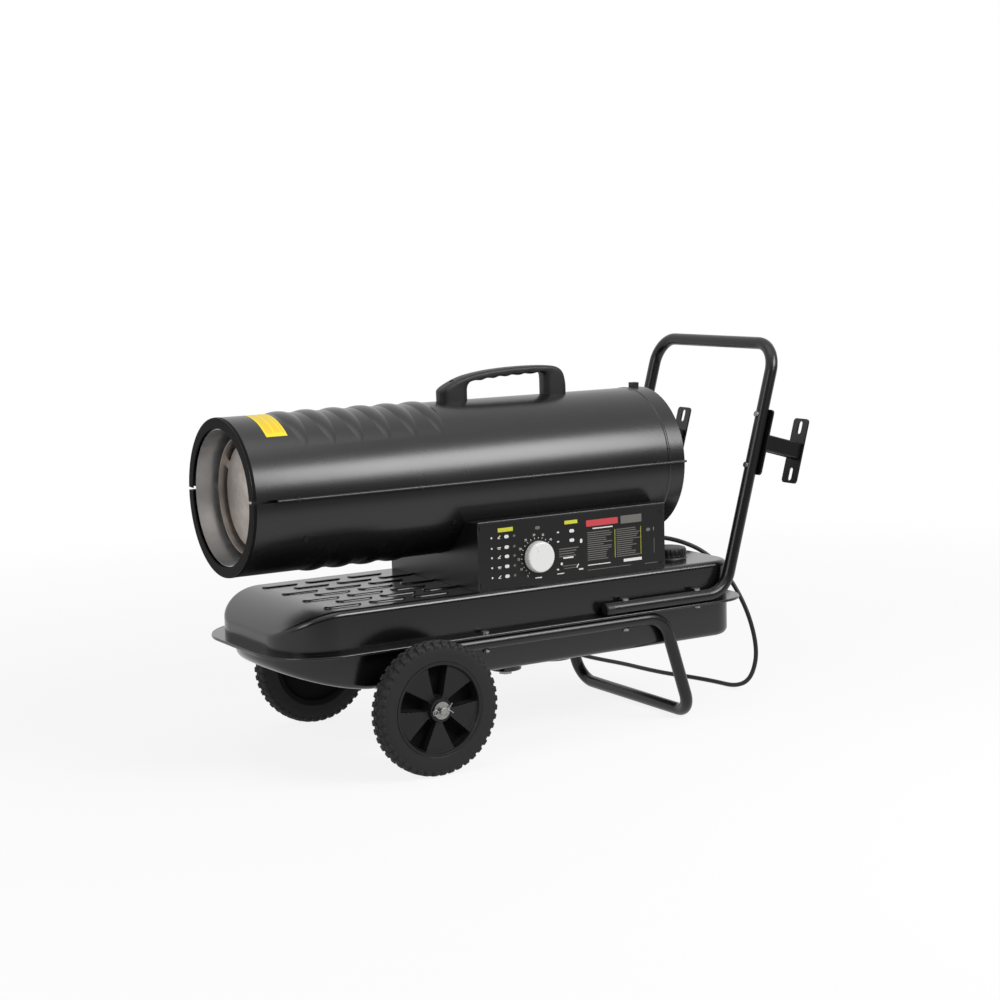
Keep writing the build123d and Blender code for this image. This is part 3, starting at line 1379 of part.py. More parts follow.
cord_start_x = box_rear + gland_length
cord_route = [
    Vector(cord_start_x, gland_y, gland_z),
    Vector(cord_start_x + cord_straight, gland_y, gland_z),
    Vector(318, -4, 270.5),
    Vector(352, -4, 260),
    Vector(384, -14, 244),
    Vector(408, -34, 217),
    Vector(425, -54, 180),
    Vector(438, -70, 137),
    Vector(445, -80, 92),
    Vector(446, -81, 56),
    Vector(443, -66, 19),
    Vector(437, -34, cord_lie_z),
    Vector(433, 14, cord_lie_z),
    Vector(421, 68, cord_lie_z),
    Vector(403, 120, cord_lie_z),
    Vector(394, 176, cord_lie_z),
    Vector(389, 232, cord_lie_z),
    Vector(377, 284, cord_lie_z),
    Vector(coil_x + coil_r, 332, cord_lie_z),
    Vector(coil_x + coil_r, coil_y - 2 * cord_r, cord_lie_z),
]
cord_radii = bend_radii(cord_route)
print("cord radii", [round(r, 1) for r in cord_radii])
with BuildPart() as power_cord:
    with BuildLine():
        cord_path = FilletPolyline(*cord_route, radius=cord_radii)
    with BuildSketch(Plane(origin=cord_path @ 0, z_dir=cord_path % 0)):
        Circle(cord_r)
    sweep(path=cord_path)
keep(power_cord, "power_cord")
print("cord volume over section times length", power_cord.part.volume / (pi * cord_r**2 * cord_path.length))


# The cord's spare length, coiled on the floor: in on the lower layer, out again on the upper one
def coil_radius(turns):
    """Distance from the coil's middle after so many turns."""
    return coil_r - coil_pitch * (turns if turns < coil_reverse else 2 * coil_reverse - turns)


def coil_height(turns):
    """Height of the cord's centre after so many turns: it climbs a layer in one half turn."""
    climbed = min(max((turns - coil_lower_turns) / coil_climb_turns, 0.0), 1.0)
    return cord_lie_z + coil_layer * climbed


def coil_point(turns):
    """A point on the coil's centreline."""
    turn = 2 * pi * turns
    out = coil_radius(turns)
    return Vector(coil_x + out * cos(turn), coil_y + out * sin(turn), coil_height(turns))


def coil_heading(turns):
    """The direction of the coil's centreline, level at the ends of each quarter turn."""
    step = 0.002
    lean = coil_point(turns + step) - coil_point(turns - step)
    climbs = close_gap < coil_height(turns) - cord_lie_z < coil_layer - close_gap
    return Vector(lean.X, lean.Y, lean.Z if climbs else 0).normalized()


def biarc(start, start_heading, end, end_heading):
    """Two arcs that leave start and reach end along the given headings."""
    gap = end - start
    both = start_heading + end_heading
    a = 2 * (1 - start_heading.dot(end_heading))
    b = gap.dot(both)
    reach = gap.dot(gap) / (2 * b) if a < 1e-9 else (sqrt(b * b + a * gap.dot(gap)) - b) / a
    middle = (start + end + (start_heading - end_heading) * reach) * 0.5
    first = TangentArc(start, middle, tangent=start_heading)
    return [first, TangentArc(middle, end, tangent=first % 1)]


coil_turns = coil_lower_turns + coil_climb_turns + coil_upper_turns
coil_stations = [0.25 * i for i in range(1, int(4 * coil_turns))]
tail_end = Vector(coil_x - coil_tail, coil_y + coil_radius(coil_turns), plug_z)
tail_start = Vector(coil_x, coil_y + coil_radius(coil_turns), cord_lie_z + coil_layer)
with BuildPart() as cord_coil:
    with BuildLine() as coil_path:
        nodes = [(Vector(coil_x + coil_r, coil_y, cord_lie_z), Vector(0, 1, 0))]
        nodes += [(coil_point(t), coil_heading(t)) for t in coil_stations]
        nodes.append((tail_start, Vector(-1, 0, 0)))
        nodes.append((tail_end, Vector(-1, 0, 0)))
        Line(nodes[0][0] - Vector(0, 2 * cord_r, 0), nodes[0][0])
        for (here, heading), (there, next_heading) in zip(nodes, nodes[1:]):
            biarc(here, heading, there, next_heading)
        Line(tail_end, tail_end - Vector(2 * cord_r, 0, 0))
    coil_wire = coil_path.wires()[0]
    with BuildSketch(Plane(origin=nodes[0][0] - Vector(0, 2 * cord_r, 0), z_dir=(0, 1, 0))):
        Circle(cord_r)
    sweep(path=coil_wire)
keep(cord_coil, "cord_coil")
print("coil volume over section times length", cord_coil.part.volume / (pi * cord_r**2 * coil_wire.length))

coil_samples = [tuple(coil_wire @ (i / coil_sample_count)) for i in range(coil_sample_count + 1)]
apart = int(4 * cord_r / coil_wire.length * coil_sample_count) + 1
least_gap = min(
    dist(coil_samples[i], coil_samples[j])
    for i in range(len(coil_samples))
    for j in range(i + apart, len(coil_samples))
)
print("least gap of the coil to itself", least_gap - 2 * cord_r)

plug_y = tail_end.Y
plug_back = tail_end.X - 2 * cord_r
plug_face = plug_back - plug_neck_length - plug_shoulder - plug_body
with BuildPart() as mains_plug:
    disc_along_x(plug_back - plug_neck_length, plug_neck_length, plug_neck_r, plug_y, plug_z)
    with BuildSketch(Plane.YZ.offset(plug_back - plug_neck_length)):
        with Locations((plug_y, plug_z)):
            Circle(plug_neck_r + plug_neck_flare)
    with BuildSketch(Plane.YZ.offset(plug_back - plug_neck_length - plug_shoulder)):
        with Locations((plug_y, plug_z)):
            Circle(plug_r)
    loft()
    disc_along_x(plug_face, plug_body, plug_r, plug_y, plug_z)
    fillet(mains_plug.edges().filter_by(GeomType.CIRCLE).group_by(Axis.X)[0], plug_edge)
    for across in (-0.5, 0.5):
        disc_along_x(plug_face - pin_length, pin_length, pin_r, plug_y + across * pin_spacing, plug_z)
keep(mains_plug, "mains_plug")
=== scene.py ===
# %% [markdown]
# # A diesel space heater, dressed over its frame
# The frame is the heater as it was constructed: a sheet-metal barrel on a control box, a fuel tank,
# tubes and wheels, each in its true place. Here every piece gets its finish, and new surfaces take over
# where the real thing has detail that the frame leaves out, such as tread blocks, moulded ribs and wire.
# Everything is in metres, with +X from the hot-air outlet to the push handle, +Y away from the control
# panel and +Z up.

# %% Load the frame
import bmesh
import bpy
import json
import numpy as np
from math import cos, pi, radians, sin
from mathutils import Matrix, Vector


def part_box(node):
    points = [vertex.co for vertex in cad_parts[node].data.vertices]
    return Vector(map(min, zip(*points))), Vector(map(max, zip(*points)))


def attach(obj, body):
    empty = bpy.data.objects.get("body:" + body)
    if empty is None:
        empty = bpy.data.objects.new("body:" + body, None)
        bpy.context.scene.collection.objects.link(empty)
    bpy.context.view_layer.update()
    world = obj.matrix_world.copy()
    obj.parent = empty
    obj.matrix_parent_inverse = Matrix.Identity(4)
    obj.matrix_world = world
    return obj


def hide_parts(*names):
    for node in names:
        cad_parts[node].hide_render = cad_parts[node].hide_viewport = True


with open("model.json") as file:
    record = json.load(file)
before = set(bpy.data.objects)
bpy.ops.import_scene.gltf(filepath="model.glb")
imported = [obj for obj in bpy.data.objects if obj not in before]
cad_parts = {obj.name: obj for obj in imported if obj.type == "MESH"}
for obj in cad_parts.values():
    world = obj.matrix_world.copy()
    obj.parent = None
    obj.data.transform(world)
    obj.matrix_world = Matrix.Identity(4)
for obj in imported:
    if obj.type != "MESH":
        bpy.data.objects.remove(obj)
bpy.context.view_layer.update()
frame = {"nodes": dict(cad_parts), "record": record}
nodes = frame["nodes"]
MM = 0.001
print("pieces in the frame:", len(nodes))

# %% [markdown]
# ## Camera
# A product photograph is mostly lens and place. This camera has the photograph's own perspective: a
# moderately long lens, three metres away, a little above the heater's top and turned a touch.

# %% Camera
lens_mm = 70.147
sensor_mm = 36.0
eye = np.array([-1.59894, -2.63322, 0.77278])
yaw, pitch, roll = radians(31.18), radians(7.57), radians(-1.48)

forward = np.array([sin(yaw) * cos(pitch), cos(yaw) * cos(pitch), -sin(pitch)])
level_right = np.array([cos(yaw), -sin(yaw), 0.0])
level_up = np.cross(level_right, forward)
camera_right = level_right * cos(roll) + level_up * sin(roll)
camera_up = level_up * cos(roll) - level_right * sin(roll)

scene = bpy.context.scene


def into_scene(name, data):
    """A new object with its data, linked into the scene."""
    made = bpy.data.objects.new(name, data)
    scene.collection.objects.link(made)
    return made


def placed(thing, right, up, back, centre):
    """Turns a camera or a lamp by its three axes and moves it to its centre."""
    place = np.eye(4)
    place[:3, :] = np.stack([right, up, back, centre], 1)
    thing.matrix_world = Matrix(place.tolist())


camera_data = bpy.data.cameras.new("camera")
camera_data.lens = lens_mm
camera_data.sensor_width = sensor_mm
camera = into_scene("camera", camera_data)
placed(camera, camera_right, camera_up, -forward, eye)
scene.camera = camera
scene.view_settings.view_transform = "Standard"
print("camera at", eye.tolist())

# %% [markdown]
# ## Surfaces from grids
# Every new piece is a grid of points worked out with numpy. A grid row joins the next one by quads, and
# a grid may also join its last row or column to its first, or be closed by a face at each end. One
# function turns any number of such grids into a mesh, merges seams and poles, and turns faces outwards.

# %% Grids to meshes
def at(x, y, z):
    """Points from coordinates, numbers or arrays that spread out to one shape."""
    return np.stack(np.broadcast_arrays(x, y, z), -1)


def whole_turn(steps):
    """Angles all the way round, each once."""
    return np.linspace(0, 2 * pi, steps, endpoint=False)


def tube(grid):
    """A grid whose rows are closed rings, with a face at each end."""
    return grid, False, True, True


def loop(grid):
    """A grid that closes on itself both ways."""
    return grid, True, True, False


def sheet(grid):
    """A grid that is open on all sides."""
    return grid, False, False, False


def quads(rows, columns, rows_join, columns_join):
    """The corner numbers of the quads between neighbouring rows and columns of a grid."""
    row = np.arange(rows if rows_join else rows - 1)
    column = np.arange(columns if columns_join else columns - 1)
    row, column = np.meshgrid(row, column, indexing="ij")
    next_row, next_column = (row + 1) % rows, (column + 1) % columns
    corners = [row * columns + column, next_row * columns + column,
               next_row * columns + next_column, row * columns + next_column]
    return np.stack(corners, -1).reshape(-1, 4)


def surface(name, grids, sharp=38):
    """A mesh object from grids, each (points, rows_join, columns_join, capped)."""
    points, faces, first = [], [], 0
    for grid, rows_join, columns_join, capped in grids:
        rows, columns = grid.shape[:2]
        points.append(grid.reshape(-1, 3))
        faces += (quads(rows, columns, rows_join, columns_join) + first).tolist()
        if capped:
            faces.append((first + np.arange(columns)[::-1]).tolist())
            faces.append((first + (rows - 1) * columns + np.arange(columns)).tolist())
        first += rows * columns
    mesh = bpy.data.meshes.new(name)
    mesh.from_pydata(np.concatenate(points).tolist(), [], faces)
    work = bmesh.new()
    work.from_mesh(mesh)
    bmesh.ops.remove_doubles(work, verts=work.verts, dist=1e-6)
    bmesh.ops.recalc_face_normals(work, faces=work.faces)
    work.to_mesh(mesh)
    work.free()
    mesh.shade_smooth()
    mesh.set_sharp_from_angle(angle=radians(sharp))
    return into_scene(name, mesh)


# %% [markdown]
# Two ways of making grids do most of the work. A lathe profile is carried round an axis, and a round
# section is carried along a path. Curved outlines come from a few corner points, whose corners a
# quadratic B-spline rounds off, as a draughtsman's spline does.

# %% Curves, lathe and wire
def eased(corners, per_span=8):
    """A quadratic B-spline through the middles of the runs between corners, from the first to the last."""
    corners = np.asarray(corners, float)
    middles = 0.5 * (corners[:-1] + corners[1:])
    starts = np.concatenate([corners[:1], middles[1:]])[: len(corners) - 2]
    starts[0] = corners[0]
    ends = middles[1:].copy()
    ends[-1] = corners[-1]
    t = np.linspace(0, 1, per_span, endpoint=False)[None, :, None]
    spans = (1 - t) ** 2 * starts[:, None] + 2 * t * (1 - t) * corners[1:-1, None] + t**2 * ends[:, None]
    return np.concatenate([spans.reshape(-1, corners.shape[1]), corners[-1:]])


def lathe(along, out, axis, centre, steps=96):
    """Points at distance out from an axis through centre, at height along it. Out may vary round it."""
    angle = whole_turn(steps)
    out = np.asarray(out, float)
    out = out[:, None] if out.ndim == 1 else out
    one, two = out * np.cos(angle), out * np.sin(angle)
    rise = np.broadcast_to(np.asarray(along, float)[:, None], one.shape)
    order = {"x": (rise, one, two), "y": (two, rise, one), "z": (one, two, rise)}[axis]
    return np.stack(order, -1) + np.asarray(centre, float)


def wire(path, radius, level=(0, 0, 1), sides=12, closed=False):
    """A round section of one or many radii carried along a path that is never parallel to level."""
    path = np.asarray(path, float)
    ahead = np.roll(path, -1, 0) - np.roll(path, 1, 0) if closed else np.gradient(path, axis=0)
    first = np.cross(ahead, level)
    first /= np.linalg.norm(first, axis=1)[:, None]
    second = np.cross(first, ahead / np.linalg.norm(ahead, axis=1)[:, None])
    turn = whole_turn(sides)[None, :, None]
    radius = np.broadcast_to(radius, len(path))[:, None, None]
    return path[:, None] + radius * (np.cos(turn) * first[:, None] + np.sin(turn) * second[:, None])


def ramp(value, width=1.0):
    """Rises smoothly from 0 to 1 as value goes from 0 to width."""
    t = np.clip(value / width, 0, 1)
    return t * t * (3 - 2 * t)


# %% [markdown]
# ## Shader building blocks
# A material is a small graph. One helper adds a node, sets its properties and feeds its inputs, with
# plain values or with the output of an earlier node, so each material below reads as a list of layers.

# %% Node helpers
def add(tree, kind, inputs=None, **settings):
    """Adds a node. Settings are its properties, and inputs its sockets by name or number."""
    node = tree.nodes.new("ShaderNode" + kind)
    for key, value in settings.items():
        setattr(node, key, value)
    for key, value in (inputs or {}).items():
        if isinstance(value, bpy.types.NodeSocket):
            tree.links.new(value, node.inputs[key])
        else:
            node.inputs[key].default_value = value
    return node


def sums(tree, operation, one, two):
    """The output of a math node on two values."""
    return add(tree, "Math", {0: one, 1: two}, operation=operation).outputs[0]


def spread(tree, value, low, high, to_low, to_high):
    """Maps a value from one range to another, clamped at its ends."""
    inputs = {"Value": value, "From Min": low, "From Max": high, "To Min": to_low, "To Max": to_high}
    return add(tree, "MapRange", inputs).outputs[0]


def blended(tree, mask, one, two):
    """A colour between two, by a mask from 0 to 1."""
    node = add(tree, "Mix", {0: mask}, data_type="RGBA")
    for socket, colour in ((node.inputs[6], one), (node.inputs[7], two)):
        if isinstance(colour, bpy.types.NodeSocket):
            tree.links.new(colour, socket)
        else:
            socket.default_value = (*colour, 1)
    return node.outputs[2]


def effect(name, inputs, outputs):
    """An empty shader node group with named float inputs and outputs, and its two inner ends."""
    tree = bpy.data.node_groups.new(name, "ShaderNodeTree")
    for label, value in inputs.items():
        tree.interface.new_socket(label, in_out="INPUT", socket_type="NodeSocketFloat").default_value = value
    for label in outputs:
        tree.interface.new_socket(label, in_out="OUTPUT", socket_type="NodeSocketFloat")
    return tree, tree.nodes.new("NodeGroupInput").outputs, tree.nodes.new("NodeGroupOutput").inputs


def effect_in(tree, group, **inputs):
    """Places an effect in a material with its own values, and returns its outputs."""
    node = tree.nodes.new("ShaderNodeGroup")
    node.node_tree = group
    for label, value in inputs.items():
        node.inputs[label.replace("_", " ")].default_value = value
    return node.outputs


def noise(tree, scale, detail=2.0):
    """Noise on Object coordinates, in metres, so it has one size on every piece."""
    spot = add(tree, "TexCoord").outputs["Object"]
    return add(tree, "TexNoise", {"Vector": spot, "Scale": scale, "Detail": detail}).outputs[0]


# %% [markdown]
# Powder coat, moulded plastic and rubber all have a fine grain and a slow drift of tone. Both are noise
# on Object coordinates, in metres, so a scale of 900 is a grain of about a millimetre.

# %% Grain and drift of tone
fine_grain, given, result = effect("fine_grain", {"Scale": 900.0, "Drift Scale": 9.0}, ["Height", "Drift"])
fine_grain.links.new(noise(fine_grain, given["Scale"]), result["Height"])
fine_grain.links.new(noise(fine_grain, given["Drift Scale"], detail=1.0), result["Drift"])
print("effect", fine_grain.name)

# %% [markdown]
# Handling rubs the paint on edges until it shines a little greyer. A bevelled normal differs from the
# true one only near an edge, so the difference between them, broken up by noise, is a mask of rubbed
# edges that needs no painting.

# %% Rubbed edges
flat_likeness, edge_likeness = 0.995, 0.90
edge_rub, given, result = effect("edge_rub", {"Width": 0.002, "Breakup": 60.0}, ["Mask"])
rounded = add(edge_rub, "Bevel", {"Radius": given["Width"]}, samples=4).outputs[0]
true_normal = add(edge_rub, "NewGeometry").outputs["Normal"]
likeness = add(edge_rub, "VectorMath", {0: rounded, 1: true_normal}, operation="DOT_PRODUCT").outputs["Value"]
edge = spread(edge_rub, likeness, flat_likeness, edge_likeness, 0.0, 1.0)
broken_up = spread(edge_rub, noise(edge_rub, given["Breakup"], detail=4.0), 0.35, 0.65, 0.0, 1.0)
edge_rub.links.new(sums(edge_rub, "MULTIPLY", edge, broken_up), result["Mask"])
print("effect", edge_rub.name)

# %% [markdown]
# A little dust settles on whatever faces up. The mask is the upward part of the surface's normal times
# a cloudy noise.

# %% Dust
cloud_scale = 14.0
dust_film, given, result = effect("dust_film", {"Amount": 0.1}, ["Mask"])
facing = add(dust_film, "SeparateXYZ", {0: add(dust_film, "NewGeometry").outputs["Normal"]}).outputs["Z"]
upward = spread(dust_film, facing, 0.3, 1.0, 0.0, 1.0)
cloudy = spread(dust_film, noise(dust_film, cloud_scale, detail=6.0), 0.35, 0.75, 0.2, 1.0)
settled = sums(dust_film, "MULTIPLY", upward, cloudy)
dust_film.links.new(sums(dust_film, "MULTIPLY", settled, given["Amount"]), result["Mask"])
print("effect", dust_film.name)

# %% [markdown]
# Rolled and drawn steel shows fine lines one way. The noise is squeezed along two axes and stretched
# along the third, which makes long streaks.

# %% Drawn streaks
drawn_streaks, given, result = effect("drawn_streaks", {"Across": 900.0, "Along": 12.0}, ["Height"])
spot = add(drawn_streaks, "TexCoord").outputs["Object"]
scales = {0: given["Along"], 1: given["Across"], 2: given["Across"]}
squeeze = add(drawn_streaks, "CombineXYZ", scales).outputs[0]
squeezed = add(drawn_streaks, "VectorMath", {0: spot, 1: squeeze}, operation="MULTIPLY").outputs[0]
streaks = add(drawn_streaks, "TexNoise", {"Vector": squeezed, "Scale": 1.0, "Detail": 3.0}).outputs[0]
drawn_streaks.links.new(streaks, result["Height"])
print("effect", drawn_streaks.name)

# %% [markdown]
# ## Finishes
# Most of the heater is coated or moulded in black, and what tells the pieces apart is gloss, grain and
# wear. One function lays these layers in order, and each finish is one call with its own values: the
# colour drifts a little, edges are rubbed, dust lies on top, and grain lifts the surface.

# %% A coat over a piece
finishes = {}


def finish(name, roughness, specular=0.5, metallic=0.0, coat=0.0):
    """A new material for a slot, its tree and its shader, whose plain values are set on the shader."""
    made = bpy.data.materials.new(name)
    made.use_nodes = True
    shader = made.node_tree.nodes["Principled BSDF"]
    shader.inputs["Roughness"].default_value = roughness
    shader.inputs["Specular IOR Level"].default_value = specular
    shader.inputs["Metallic"].default_value = metallic
    shader.inputs["Coat Weight"].default_value = coat
    finishes[name] = made
    return made.node_tree, shader


dust_colour, dust_dulls = (0.30, 0.285, 0.265), 0.5
smoothest, roughest = 0.92, 1.08


def coated(name, colour, roughness, grain=900.0, lift=0.00003, drift=0.2, rub=0.2, rub_width=0.0012,
           dust=0.01, specular=0.5, coat=0.0, rubbed_to=(0.10, 0.10, 0.103)):
    """A painted or moulded finish: drift of tone, rubbed edges, dust and grain, in that order."""
    tree, shader = finish(name, roughness, specular, coat=coat)
    grains = effect_in(tree, fine_grain, Scale=grain)
    rubs = effect_in(tree, edge_rub, Width=rub_width)
    dusts = effect_in(tree, dust_film, Amount=dust)
    darker = tuple(c * (1 - drift) for c in colour)
    lighter = tuple(c * (1 + drift) for c in colour)
    tone = blended(tree, grains["Drift"], darker, lighter)
    tone = blended(tree, sums(tree, "MULTIPLY", rubs["Mask"], rub), tone, rubbed_to)
    tone = blended(tree, dusts["Mask"], tone, dust_colour)
    tree.links.new(tone, shader.inputs["Base Color"])
    uneven = spread(tree, grains["Drift"], 0.0, 1.0, roughness * smoothest, roughness * roughest)
    dusty = sums(tree, "ADD", uneven, sums(tree, "MULTIPLY", dusts["Mask"], dust_dulls))
    tree.links.new(dusty, shader.inputs["Roughness"])
    bump = add(tree, "Bump", {"Height": grains["Height"], "Distance": lift, "Strength": 1.0})
    tree.links.new(bump.outputs[0], shader.inputs["Normal"])
    return finishes[name]


# %% [markdown]
# The barrel, box and tank are powder coated. The barrel is satin, so a softbox draws a soft band along
# it. The tank is glossier, and the tubes are like the barrel with a finer grain.

# %% Black coats
coated("barrel_paint", (0.0055, 0.0054, 0.0054), 0.27, grain=700.0, lift=0.000025)
coated("sheet_black", (0.0055, 0.0055, 0.0056), 0.33, grain=800.0, specular=0.45)
coated("tank_paint", (0.0045, 0.0045, 0.0046), 0.19, grain=500.0, lift=0.00002)
coated("tube_paint", (0.0050, 0.0050, 0.0052), 0.28, grain=1000.0, specular=0.4)
print("black coats made")

# %% [markdown]
# Moulded parts: the carry handle and plugs are matt with a fine spark-eroded grain, the wheels' rims a
# little darker and smoother, the tyres' rubber soft and dull, and the knob a clean glossy white.

# %% Moulded plastic and rubber
coated("black_plastic", (0.0080, 0.0080, 0.0082), 0.46, grain=1600.0, lift=0.00005, specular=0.35, rub=0.15)
coated("rim_plastic", (0.0060, 0.0060, 0.0061), 0.38, grain=1300.0, lift=0.00004, specular=0.32, rub=0.12)
coated("tyre", (0.0115, 0.0115, 0.0117), 0.62, grain=1100.0, lift=0.00006, specular=0.3, rub=0.15, dust=0.03)
coated("rubber", (0.0100, 0.0100, 0.0100), 0.55, grain=1500.0, lift=0.00004, specular=0.3, rub=0.1)
coated("cord_jacket", (0.0110, 0.0110, 0.0110), 0.46, grain=1800.0, lift=0.00003, specular=0.35, rub=0.0)
coated("white_plastic", (0.66, 0.66, 0.65), 0.22, grain=1500.0, lift=0.00001, drift=0.02, rub=0.1, coat=0.3,
       rubbed_to=(0.5, 0.5, 0.48), dust=0.02)
coated("ceramic", (0.78, 0.74, 0.66), 0.18, grain=900.0, drift=0.04, rub=0.0, coat=0.4)
coated("board", (0.02, 0.12, 0.05), 0.35, grain=400.0, drift=0.2, rub=0.1, rubbed_to=(0.3, 0.25, 0.1))
coated("motor_metal", (0.06, 0.062, 0.066), 0.55, grain=600.0, lift=0.00012, drift=0.2, rub=0.3)
print("moulded finishes made")

# %% [markdown]
# The panel is a printed film over sheet metal: black, nearly smooth, and duller than the paint round it,
# which is why it looks darker than the box.

# %% Printed film and inks
coated("panel", (0.0050, 0.0050, 0.0051), 0.36, grain=1500.0, lift=0.00001, drift=0.15, rub=0.3,
       specular=0.4, rubbed_to=(0.25, 0.25, 0.26))
ink_colours = {
    "ink_white": (0.62, 0.62, 0.60),
    "ink_grey": (0.125, 0.122, 0.112),
    "ink_yellow": (0.50, 0.50, 0.04),
    "ink_red": (0.46, 0.05, 0.06),
    "film_yellow": (0.90, 0.72, 0.03),
    "film_amber": (0.84, 0.58, 0.03),
}
for ink, colour in ink_colours.items():
    coated(ink, colour, 0.40, grain=2500.0, lift=0.000008, drift=0.06, rub=0.0, dust=0.02, specular=0.3)
# Painted shade: a nearly black, dead matt finish for the outlet lip and the handle's screw recess, where they
# show dark.
coated("painted_shade_black", (0.004, 0.004, 0.004), 0.62, grain=1200.0, drift=0.3, rub=0.0, dust=0.0, specular=0.08)
print("inks:", list(ink_colours))

# %% [markdown]
# Bare metals are told apart by colour, gloss and the way their surface was worked: zinc has a faint
# crystal mottle, the liner is bright rolled steel, the chamber is tinted straw and brown by heat, and
# the fan is cast aluminium.

# %% Bare metals
polished, scratched = 0.8, 1.25


def bare(name, dark, light, roughness, mottle=70.0, across=900.0, lift=0.00003):
    """A bare metal: mottled between two tones, with fine drawn streaks in its gloss and its relief."""
    tree, shader = finish(name, roughness, metallic=1.0)
    mottles = effect_in(tree, fine_grain, Scale=mottle, Drift_Scale=24.0)
    streak = effect_in(tree, drawn_streaks, Across=across)["Height"]
    tone = blended(tree, spread(tree, mottles["Height"], 0.3, 0.7, 0.0, 1.0), dark, light)
    tree.links.new(tone, shader.inputs["Base Color"])
    gloss = spread(tree, streak, 0.3, 0.7, roughness * polished, roughness * scratched)
    tree.links.new(gloss, shader.inputs["Roughness"])
    bump = add(tree, "Bump", {"Height": streak, "Distance": lift, "Strength": 1.0})
    tree.links.new(bump.outputs[0], shader.inputs["Normal"])
    return tree, shader, tone


bare("zinc", (0.26, 0.26, 0.25), (0.38, 0.38, 0.36), 0.36, mottle=420.0)
bare("liner_metal", (0.56, 0.57, 0.58), (0.68, 0.69, 0.70), 0.40, mottle=30.0, across=500.0, lift=0.00005)
bare("aluminium", (0.46, 0.47, 0.48), (0.58, 0.59, 0.60), 0.42, mottle=240.0)
bare("brass", (0.52, 0.36, 0.14), (0.66, 0.48, 0.20), 0.30)
print("bare metals made")

# %% [markdown]
# Heat leaves a straw to brown tint that is strongest deep in the chamber and fades towards the outlet.
# The tint follows X, the barrel's own direction, and noise breaks it up.

# %% Heat-tinted steel
silver, straw, brown = (0.42, 0.38, 0.35), (0.54, 0.49, 0.46), (0.20, 0.13, 0.08)
smoke_scale, smoke_depth, tinted_from, tinted_to = 18.0, 0.12, -0.40, -0.12
tree, shader, tone = bare("hot_metal", silver, straw, 0.46, mottle=60.0, across=350.0)
depth = add(tree, "SeparateXYZ", {0: add(tree, "TexCoord").outputs["Object"]}).outputs["X"]
smoky = sums(tree, "MULTIPLY", noise(tree, smoke_scale, detail=5.0), smoke_depth)
tint = spread(tree, sums(tree, "ADD", depth, smoky), tinted_from, tinted_to, 0.0, 0.8)
tree.links.new(blended(tree, tint, tone, brown), shader.inputs["Base Color"])
print("heat tint made")

# %% [markdown]
# The gauge on the pump has a clear face over a pale dial, which fine noise keeps from being one flat tone.

# %% Gauge face
tree, shader = finish("gauge_face", 0.12, coat=0.5)
cloudy_scale, cloudy_tones = 220.0, ((0.60, 0.60, 0.58), (0.72, 0.72, 0.70))
dial_tone = blended(tree, noise(tree, cloudy_scale), *cloudy_tones)
tree.links.new(dial_tone, shader.inputs["Base Color"])
print("finishes:", len(finishes))

# %% [markdown]
# The record names a material slot for each piece of the frame, so the pieces that stay are dressed in
# one loop.

# %% Dress the frame
for part in frame["record"]["subparts"]:
    node = nodes[part["node"]]
    node.data.materials.clear()
    node.data.materials.append(finishes[part["material_slot"]])


def settle(piece, body, slot, *replaced, ink=None):
    """Gives a new piece its finish and its body, and hides the frame's pieces that it stands for."""
    piece.data.materials.append(finishes[ink or slot])
    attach(piece, body)
    if replaced:
        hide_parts(*replaced)
    return piece


def dressed(name, grids, body, slot, *replaced, ink=None):
    """A piece made from grids and settled."""
    return settle(surface(name, grids), body, slot, *replaced, ink=ink)


# %% [markdown]
# ## Power cord
# The lead leaves the box through a gland, runs straight for a few diameters, sags to the floor behind
# the tank, wanders off and lies in a small coil with its plug. One NURBS spline carries it all. Its
# points are the cord's route, and the coil's are worked out: in on the floor, out again on top, climbing
# a layer in the half turn where it reverses.

# %% Route and coil
cord_r = 3.75 * MM
cord_lie = 3.8 * MM
route = np.array([
    (243, -10, 278), (277, -10, 278), (318, -4, 270.5), (352, -4, 260), (384, -14, 244),
    (408, -34, 217), (425, -54, 180), (438, -70, 137), (445, -80, 92), (446, -81, 56),
    (443, -66, 19), (437, -34, 3.8), (433, 14, 3.8), (421, 68, 3.8), (403, 120, 3.8),
    (394, 176, 3.8), (389, 232, 3.8), (377, 284, 3.8), (370, 332, 3.8), (370, 368.5, 3.8),
]) * MM
coil_middle = np.array([325.0, 376.0]) * MM
coil_r, coil_pitch, coil_layer = 45 * MM, 8.3 * MM, 8.1 * MM
turns_in, turns_all, turns_on_floor = 2.25, 4.25, 2.0
points_per_turn = 16

turn = np.arange(1, turns_all * points_per_turn + 1) / points_per_turn
wound = np.where(turn < turns_in, turn, 2 * turns_in - turn)
outside_corner = 1 / cos(pi / points_per_turn)
reach = (coil_r - coil_pitch * wound) * outside_corner
climb = np.clip((turn - turns_on_floor) / (2 * (turns_in - turns_on_floor)), 0, 1)
coil_x = coil_middle[0] + reach * np.cos(2 * pi * turn)
coil_y = coil_middle[1] + reach * np.sin(2 * pi * turn)
coil = np.stack([coil_x, coil_y, cord_lie + coil_layer * climb], 1)
plug_axis = np.array([0.0, coil_middle[1] + coil_r - coil_pitch * (2 * turns_in - turns_all), 17.6 * MM])
tail = np.array([(289, 0, 0), (281.5, 0, 0)]) * MM + plug_axis
cord_points = np.concatenate([route, coil, tail])
print("cord points", len(cord_points))

# %% [markdown]
# The curve is turned into a mesh once as a bare line, before it gets its round section, so that its
# length can be measured and the sleeve can follow it.

